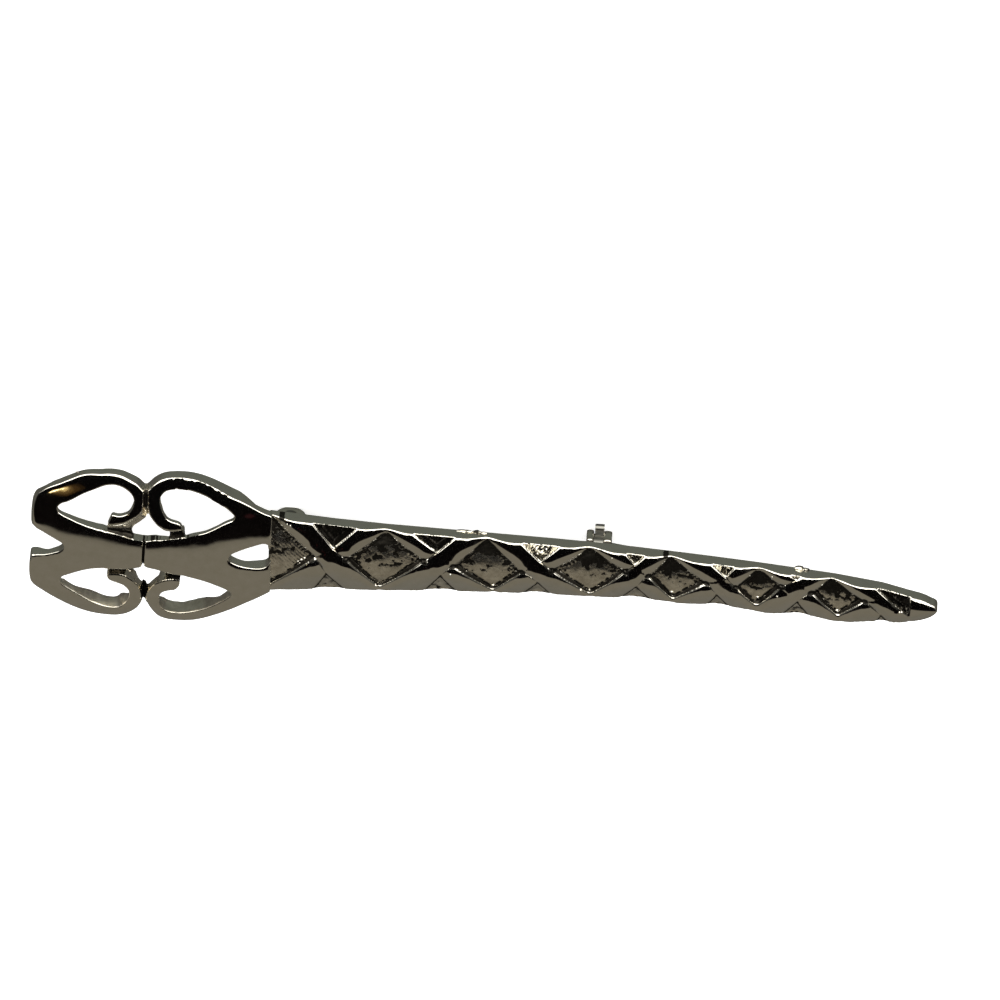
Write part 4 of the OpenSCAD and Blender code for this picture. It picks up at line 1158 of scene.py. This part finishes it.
    # edge triangles below: shallow and rough, with a painted-shade dark line round their rims and a blotchy darker tone
    # inside
    for (d, s), c in zip(lows, CROSSINGS):
        t = np.maximum(-d, 0)
        hatch = np.cos(2 * np.pi * (x * 0.8 + v * 0.6) / 0.5)
        floor = dome - 0.10 - 0.24 * smooth(0.0, 0.8, t) + rough * 2.0 + 0.010 * hatch
        inner = smax(z - 1.8 * (np.sqrt(t * t + 0.03 ** 2) - 0.03), floor, 0.06)
        stain_and_shade = np.where(d < 0, np.maximum(stain_and_shade, 0.8 * smooth(0.0, 0.05, t) * smooth(0.18, 0.10, t) + 0.62 * noise(x * 2.7, v * 2.7, 63) * smooth(0.05, 0.15, t)), stain_and_shade)
        z = np.where(d < 0, np.minimum(inner, z), z)
        dull = np.where(d < 0, np.maximum(dull, smooth(0.05, 0.25, t) * 0.55), dull)
    # hollow before the solid tip
    d, s = tipc
    t = np.maximum(-d, 0)
    inner = smax(z - 1.6 * (np.sqrt(t * t + 0.05 ** 2) - 0.05), dome - 0.55 + 1.5 * rough, 0.1)
    z = np.where(d < 0, inner, z)
    dull = np.where(d < 0, np.maximum(dull, smooth(0.0, 0.15, t) * 0.9), dull)
    for bx, bv, r in BEADS:
        q = np.hypot(x - bx, v - bv)
        bead = np.sqrt(np.maximum(r * r - q * q, 0))
        z = np.where(q < r, z + bead, z)
        dull = np.where(q < r * 1.1, 0.0, dull)
    z = z + 0.008 * (noise(x * 1.1, v * 1.1, 3) - 0.5) + 0.003 * (noise(x * 3.3, v * 3.3, 4) - 0.5)
    r = 0.15 + 0.12 * (noise(x * 1.1, v * 0.3, 65) - 0.5) + 0.14 * (noise(x * 3.1, v * 0.3, 66) - 0.5)
    r = np.maximum(r, 0.02)
    e = np.minimum(edge, r)
    z = z - (r - np.sqrt(np.maximum(r * r - (r - e) ** 2, 0)))
    wear_and_shade = np.zeros((len(x), 3))
    wear_and_shade[:, 0] = dull
    wear_and_shade[:, 1] = np.where(edge < 0.01, 0, stain_and_shade)
    wear_and_shade[:, 2] = smooth(0.05, 0.0, edge)
    for cx, cy, cr in ((19.6, 2.95, 0.35), (-21.9, 4.9, 0.35)):
        wear_and_shade[:, 1] = np.maximum(wear_and_shade[:, 1], np.exp(-(((x - cx) / cr) ** 2 + ((v - cy) / 0.4) ** 2)))
    return z, wear_and_shade


def star(fun, mid, level, n):
    """A closed line at a level of fun around mid, found along rays."""
    a = np.linspace(0, 2 * np.pi, n, endpoint=False)
    lo, hi = np.zeros(n), np.full(n, 6.0)
    for _ in range(24):
        m = (lo + hi) / 2
        f = fun(mid[0] + m * np.cos(a), mid[1] + m * np.sin(a))
        lo, hi = np.where(f < level, m, lo), np.where(f < level, hi, m)
    m = (lo + hi) / 2
    return np.column_stack([mid[0] + m * np.cos(a), mid[1] + m * np.sin(a)])


def make_blade():
    # outline in (x, across)
    xs = np.concatenate([np.arange(ROOT_X, 46, 0.12), 46 + (TIP_X - 46) * np.sin(np.linspace(0, np.pi / 2, 36))])
    hw = half_width(xs)
    top = np.column_stack([xs, top_width(xs)])
    low = np.column_stack([xs, -hw + low_dip(xs)])
    curve = np.vstack([low[:-1], top[::-1]])
    curve = resample(curve, 0.1, closed=False)
    root = np.column_stack([np.full(50, ROOT_X), np.linspace(curve[-1, 1], curve[0, 1], 52)[1:-1]])
    outline = [np.vstack([curve, root])]
    dist = near([curve], closed=False)
    loop = outline[0]
    lines = []

    def add(l, closed=True, margin=0.03):
        """Adds the part of a line that lies inside the outline."""
        l = np.asarray(l)
        ok = inside(l[:, 0], l[:, 1], outline) & (l[:, 0] > ROOT_X + 0.03)
        if ok.any():
            dd = np.ones(len(l))
            dd[ok] = dist(l[ok, 0], l[ok, 1])
            ok &= dd > margin
        if ok.all():
            lines.append((l, closed))
            return
        # runs of kept points
        n = len(l)
        start = int(np.argmin(ok)) if closed else 0
        run = []
        for k in range(n + 1):
            i = (start + k) % n if closed else k
            if k < n and ok[i]:
                run.append(l[i])
            else:
                if len(run) > 2:
                    lines.append((np.array(run), False))
                run = []

    for c in CELLS + [TIP_LUMP]:
        mid = np.mean(c[:4], axis=0)
        if c is CELLS[0]:
            mid = np.array([-22.3, 0.5])
        fun = lambda x, v, c=c: poly_side(x, v, c[:4], c[4])[0]
        wall = (0.4, 0.22, 0.13, 0.08, 0.035, 0.0, -0.03, -0.07, -0.12, -0.18, -0.25, -0.34, -0.44, -0.54, -0.64, -0.74, -0.86)
        if c is TIP_LUMP:
            wall = (0.3, 0.12, 0.04, 0.0, -0.05, -0.12, -0.22, -0.35)
        for level in wall:
            l = star(fun, mid, level, 720)
            lines_at = resample(l, 0.075 if -0.8 < level < -0.1 else 0.1)
            add(lines_at)
    for c in CROSSINGS:
        for tri, levels in ((top_triangle(c), (0.3, 0.13, 0.08, 0.035, 0.0, -0.04, -0.09, -0.15)), (low_triangle(c), (0.3, 0.13, 0.08, 0.035, 0.0, -0.05, -0.12, -0.2))):
            mid = np.mean(tri, axis=0)
            fun = lambda x, v, tri=tri: poly_side(x, v, tri, 0.12)[0]
            for level in levels:
                add(resample(star(fun, mid, level, 500), 0.09))
        if c[1][1] - c[1][0] > 1.6:
            tri = inner_triangle(c)
            mid = np.mean(tri, axis=0)
            fun = lambda x, v, tri=tri: poly_side(x, v, tri, 0.1)[0]
            for level in (0.04, 0.0, -0.04, -0.1, -0.16):
                add(resample(star(fun, mid, level, 400), 0.08))
    for sign, t, r, b, l in QUADS:
        sides = ((t, r), (b, l)) if sign < 0 else ((l, t), (r, b))
        mid = np.mean([t, r, b, l], axis=0)
        for p, q in sides:
            p, q = np.array(p), np.array(q)
            n = np.array([(q - p)[1], -(q - p)[0]]) / np.hypot(*(q - p))
            if np.dot(n, mid - p) > 0:
                n = -n
            for off in (-0.2, -0.08, -0.015, 0.015, 0.08, 0.18, 0.34, 0.55):
                m = max(4, int(np.hypot(*(q - p)) / 0.09))
                ts = np.linspace(0.04, 0.96, m)
                lines.append((p + ts[:, None] * (q - p) + n * off, False))
    pts = []
    rows = np.arange(-5.2, 5.2, 0.15)
    for k, y in enumerate(rows):
        x = np.arange(ROOT_X + 0.1, TIP_X, 0.17) + (k % 2) * 0.085
        pts.append(np.column_stack([x, np.full(len(x), y)]))
    pts = np.vstack(pts)
    pts = pts[np.where(pts[:, 1] > 0, pts[:, 1] < top_width(pts[:, 0]) - 0.15, -pts[:, 1] < half_width(pts[:, 0]) - low_dip(pts[:, 0]) - 0.15)]
    # leave room round the lines
    have = np.vstack([l for l, _ in lines])
    clear = near([have], closed=False, step=0.05)
    have_tree = KDTree(len(have))
    for i, (a, b) in enumerate(have):
        have_tree.insert((a, b, 0), i)
    have_tree.balance()
    gap = np.array([have_tree.find((a, b, 0))[2] for a, b in pts])
    pts = pts[gap > 0.055]
    extra = []
    for d in (0.02, 0.05, 0.09, 0.14, 0.2, 0.3, 0.42):
        for s in (1, -1):
            x = np.arange(ROOT_X + 0.06, 46.0, 0.12)
            w = top_width(x) if s > 0 else half_width(x) - low_dip(x)
            extra.append(np.column_stack([x, s * (w - d)]))
        a = np.linspace(0, np.pi, 60)[1:-1]
        x = 46 + (TIP_X - 46 - d) * np.sin(a)
        w = half_width(np.minimum(46 + (x - 46) * (TIP_X - 46) / (TIP_X - 46 - d), TIP_X - 1e-4)) * (1.98 - d) / 1.98
        extra.append(np.column_stack([x, np.sign(np.cos(a)) * w]))
    for bx, bv, r in BEADS:
        extra.append(np.array([[bx, bv]]))
        for k in (0.3, 0.55, 0.75, 0.9, 0.99, 1.02, 1.25):
            a = np.linspace(0, 2 * np.pi, 14, endpoint=False) + k
            extra.append(np.column_stack([bx + k * r * np.cos(a), bv + k * r * np.sin(a)]))
    extra = np.vstack(extra)
    ok = inside(extra[:, 0], extra[:, 1], outline)
    extra = extra[ok]
    xy, tris = triangulate(outline, lines, np.vstack([pts, extra]))
    x, v = xy[:, 0], xy[:, 1]
    edge = dist(x, v)
    edge[edge < 0.008] = 0.0
    z, wear_and_shade = blade_front(x, v, edge)
    ob = slab("blade", np.column_stack([x, v + bend(x)]), tris, z + BACK, wear_and_shade, np.full(len(x), BACK), (0.1, 0.25, 0.45, 0.7, 0.9), flat=True)
    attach(ob, "brooch")
    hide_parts("body")
    print("blade triangles", len(ob.data.polygons))
    return ob


make_blade()


# -------------------------------------------------------------- fittings ----
HINGE_X, CATCH_X, PIN_Y, PIN_Z = -21.15, 12.3, 0.5, 1.65


def arc(cx, cy, r, a0, a1, n):
    a = np.radians(np.linspace(a0, a1, n))
    return np.column_stack([cx + r * np.cos(a), cy + r * np.sin(a)])


def inset(loop, d):
    """The closed loop moved inwards by d; the loop turns anticlockwise round the metal."""
    t = np.roll(loop, -1, axis=0) - np.roll(loop, 1, axis=0)
    t /= np.maximum(np.hypot(t[:, 0], t[:, 1]), 1e-9)[:, None]
    return loop + d * np.column_stack([-t[:, 1], t[:, 0]])


def rounded(loop, step=0.09, times=6):
    """The closed loop with its corners rounded off."""
    p = resample(np.asarray(loop, float), step)
    for _ in range(times):
        p = 0.25 * np.roll(p, 1, axis=0) + 0.5 * p + 0.25 * np.roll(p, -1, axis=0)
    return p


def plate(loops, lo, hi, place, bevel=0.1):
    """A flat plate between lo and hi with rounded edges, as points and faces. The first loop turns
    anticlockwise and the holes clockwise; place turns (u, w, height) into a point."""
    heights = [(lo, bevel), (lo + 0.3 * bevel, 0.3 * bevel), (lo + bevel, 0.0),
               (hi - bevel, 0.0), (hi - 0.3 * bevel, 0.3 * bevel), (hi, bevel)]
    verts, faces, layers = [], [], []
    count = sum(len(l) for l in loops)
    for h, d in heights:
        base = len(layers) * count
        for l in loops:
            for u, w in inset(l, d):
                verts.append(place(u, w, h))
        layers.append(base)
    k = 0
    for l in loops:
        n = len(l)
        for a, b in zip(layers[:-1], layers[1:]):
            for i in range(n):
                j = (i + 1) % n
                faces.append((a + k + i, a + k + j, b + k + j, b + k + i))
        k += n
    rim = [inset(l, bevel) for l in loops]
    coords = [Vector(p) for l in rim for p in l]
    edges, k = [], 0
    for l in rim:
        edges += [(k + i, k + (i + 1) % len(l)) for i in range(len(l))]
        k += len(l)
    r = delaunay_2d_cdt(coords, edges, [], 0, 1e-6, True)
    xy = np.array([(v.x, v.y) for v in r[0]])
    tris = np.array([f for f in r[2]], int)
    origin = [o[0] for o in r[3]]
    for a, b, c in tris[within(xy, tris, r, len(edges), rim)].tolist():
        a, b, c = origin[a], origin[b], origin[c]
        faces.append((a, c, b))
        faces.append((layers[-1] + a, layers[-1] + b, layers[-1] + c))
    return verts, faces


def join(parts):
    verts, faces = [], []
    for v, f in parts:
        n = len(verts)
        verts += v
        faces += [tuple(n + i for i in face) for face in f]
    return verts, faces


def fitting(name, parts, sharp=35, dull=0.15, wall=0.0, stain_and_shade=0.0, shade_near_back=0.0):
    verts, faces = join(parts)
    verts = np.array(verts, float)
    wear_and_shade = np.zeros((len(verts), 3))
    wear_and_shade[:, 2] = wall
    wear_and_shade[:, 0] = dull + 0.2 * noise(verts[:, 0] * 1.7 + verts[:, 2], verts[:, 1] * 1.7, 71)
    # painted shade: darker towards the back plate where the fittings join it, and over the upper catch near its
    # pedestal
    wear_and_shade[:, 1] = stain_and_shade + 0.5 * smooth(BACK - 0.45, BACK, verts[:, 2]) * noise(verts[:, 0] * 2.1, verts[:, 1] * 2.1, 72) \
        + shade_near_back * smooth(2.35, 2.75, verts[:, 2])
    ob = build(name, verts, faces, wear_and_shade, PLATE, sharp)
    me = ob.data
    bm = bmesh.new()
    bm.from_mesh(me)
    bmesh.ops.recalc_face_normals(bm, faces=bm.faces)
    bm.to_mesh(me)
    bm.free()
    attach(ob, "brooch")
    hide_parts("body")
    return ob


def open_ring(x, half, ri, ro, foot):
    """A ring round the pin line, open downwards, with a rounded section and its ends cut off flat at the foot."""
    n, m = 96, 20
    reach = math.asin((PIN_Z - foot) / ro) - 0.02
    verts, faces = [], []
    for i in range(n):
        a = -reach + (math.pi + 2 * reach) * i / (n - 1)
        for j in range(m):
            b = 2 * math.pi * j / m
            c, q = math.cos(b), math.sin(b)
            c, q = math.copysign(abs(c) ** 0.85, c), math.copysign(abs(q) ** 0.85, q)
            r = (ri + ro) / 2 + (ro - ri) / 2 * c
            verts.append((x + half * q, PIN_Y + r * math.cos(a), max(PIN_Z + r * math.sin(a), foot)))
    for i in range(n - 1):
        for j in range(m):
            k = (j + 1) % m
            faces.append((i * m + j, i * m + k, (i + 1) * m + k, (i + 1) * m + j))
    faces.append(tuple(range(m)))
    faces.append(tuple(range((n - 1) * m, n * m))[::-1])
    return verts, faces


def lump(cx, cy, cz, rx, ry, rz, seed, n=16, rough=0.25):
    """A small uneven drop of metal."""
    verts, faces = [(cx, cy, cz - rz)], []
    for i in range(1, n // 2):
        p = math.pi * i / (n // 2)
        for j in range(n):
            a = 2 * math.pi * j / n
            k = 1 + rough * (float(noise(np.array(2 + 1.6 * math.cos(a) * math.sin(p)), np.array(2 + 1.6 * math.sin(a) * math.sin(p) + p), seed)) - 0.5) * 2
            verts.append((cx + rx * k * math.sin(p) * math.cos(a), cy + ry * k * math.sin(p) * math.sin(a), cz - rz * k * math.cos(p)))
    verts.append((cx, cy, cz + rz))
    rows = n // 2 - 1
    for j in range(n):
        k = (j + 1) % n
        faces.append((0, 1 + k, 1 + j))
        for i in range(rows - 1):
            a, b = 1 + i * n, 1 + (i + 1) * n
            faces.append((a + j, a + k, b + k, b + j))
        faces.append((1 + (rows - 1) * n + j, 1 + (rows - 1) * n + k, len(verts) - 1))
    return verts, faces


def solder(cx, cy, hx, hy, height, seed):
    """A fillet of solder round the foot of a fitting, on the flat back."""
    n = 64
    verts, faces = [], []
    prof = [(0.42, -0.06), (0.40, 0.03), (0.22, 0.10), (0.09, 0.22), (0.02, 0.42), (-0.1, 0.45), (-0.1, -0.06)]
    for j in range(n):
        a = 2 * math.pi * j / n
        c, s = math.cos(a), math.sin(a)
        k = (abs(c) ** 5 + abs(s) ** 5) ** -0.2
        w = 0.7 + 0.7 * float(noise(np.array(3 + 1.4 * c), np.array(3 + 1.4 * s), seed))
        for out, down in prof:
            o = out * w if out > 0 else out
            verts.append((cx + (hx + o) * k * c, cy + (hy + o) * k * s, BACK - down * height * (w if down > 0 else 1.0)))
    m = len(prof)
    for j in range(n):
        b = (j + 1) % n
        for i in range(m):
            k = (i + 1) % m
            faces.append((j * m + i, b * m + i, b * m + k, j * m + k))
    return verts, faces


def make_fittings():
    # hinge: two cheeks on a base plate, cut flat at the feet
    r, foot = 1.75, 0.004
    reach = math.degrees(math.asin((PIN_Z - foot) / r))
    side = []
    side.append(arc(HINGE_X, PIN_Z, r, -reach, 0, 24))
    side.append(np.array([(HINGE_X + r, z) for z in np.linspace(PIN_Z + 0.15, BACK - 0.02, 12)]))
    side.append(np.array([(x, BACK - 0.02) for x in np.linspace(HINGE_X + r, HINGE_X - r, 18)[1:-1]]))
    side.append(np.array([(HINGE_X - r, z) for z in np.linspace(BACK - 0.02, PIN_Z + 0.15, 12)]))
    side.append(arc(HINGE_X, PIN_Z, r, 180, 180 + reach, 24))
    loop = rounded(np.vstack(side))
    hole = arc(HINGE_X, PIN_Z, 0.5, 360, 7.5, 48)
    parts = []
    for s in (-1, 1):
        mid = PIN_Y + s * 1.25
        parts.append(plate([loop, hole], mid - 0.445, mid + 0.445, lambda u, w, h: (u, h, w), 0.09))
    base = np.array([(-1.74, -1.69), (1.74, -1.69), (1.74, 1.69), (-1.74, 1.69)]) + (HINGE_X, PIN_Y)
    base = rounded(base)
    parts.append(plate([base], BACK - 0.49, BACK - 0.02, lambda u, w, h: (u, w, h), 0.08))
    parts.append(solder(HINGE_X, PIN_Y, 1.74, 1.69, 0.9, 81))
    fitting("hinge_cheeks", parts)

    # catch: two open rings, rounded on their rims, hanging from a pedestal
    parts = []
    for x, half, ro in ((CATCH_X - 1.0, 0.395, 1.72), (CATCH_X + 0.9, 0.46, 1.665)):
        parts.append(open_ring(x, half, 1.362, ro, 0.004))
    top = PIN_Z + 1.46
    foot_plate = np.array([(-1.39, -1.09), (1.39, -1.09), (1.39, 1.09), (-1.39, 1.09)]) + (CATCH_X, PIN_Y)
    parts.append(plate([rounded(foot_plate)], top, BACK - 0.02, lambda u, w, h: (u, w, h), 0.1))
    parts.append(solder(CATCH_X, PIN_Y, 1.39, 1.09, 0.8, 82))
    fitting("catch_housing", parts, shade_near_back=0.95)

    # small lumps of casting metal left along the upper edge of the back
    parts = []
    for x, out, rx, ry, rz, seed in ((-2.2, 0.03, 0.9, 0.16, 0.2, 1), (-0.85, 0.06, 0.6, 0.2, 0.24, 2),
                                     (-0.1, 0.0, 0.4, 0.13, 0.16, 3), (34.0, 0.12, 0.5, 0.22, 0.25, 4),
                                     (34.75, 0.06, 0.42, 0.18, 0.22, 5), (-43.4, None, 0.9, 0.10, 0.12, 6)):
        if out is None:
            y = 8.98 + HILT_Y
        else:
            y = float(top_width(np.array(x))) + float(bend(np.array(x))) + out
        parts.append(lump(x, y, BACK + 0.17, rx, ry, rz, seed))
    # the lumps carry a little painted shade to damp their glints
    fitting("edge_lumps", parts, 35, 0.3, 0.5, 0.2)


make_fittings()

# ------------------------------------------------------------ last lines ----
for name, mat in (("hinge_rivet", CATCH), ("pin_stem", STEEL), ("catch_lever", CATCH)):
    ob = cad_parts[name]
    ob.data.materials.clear()
    ob.data.materials.append(mat)
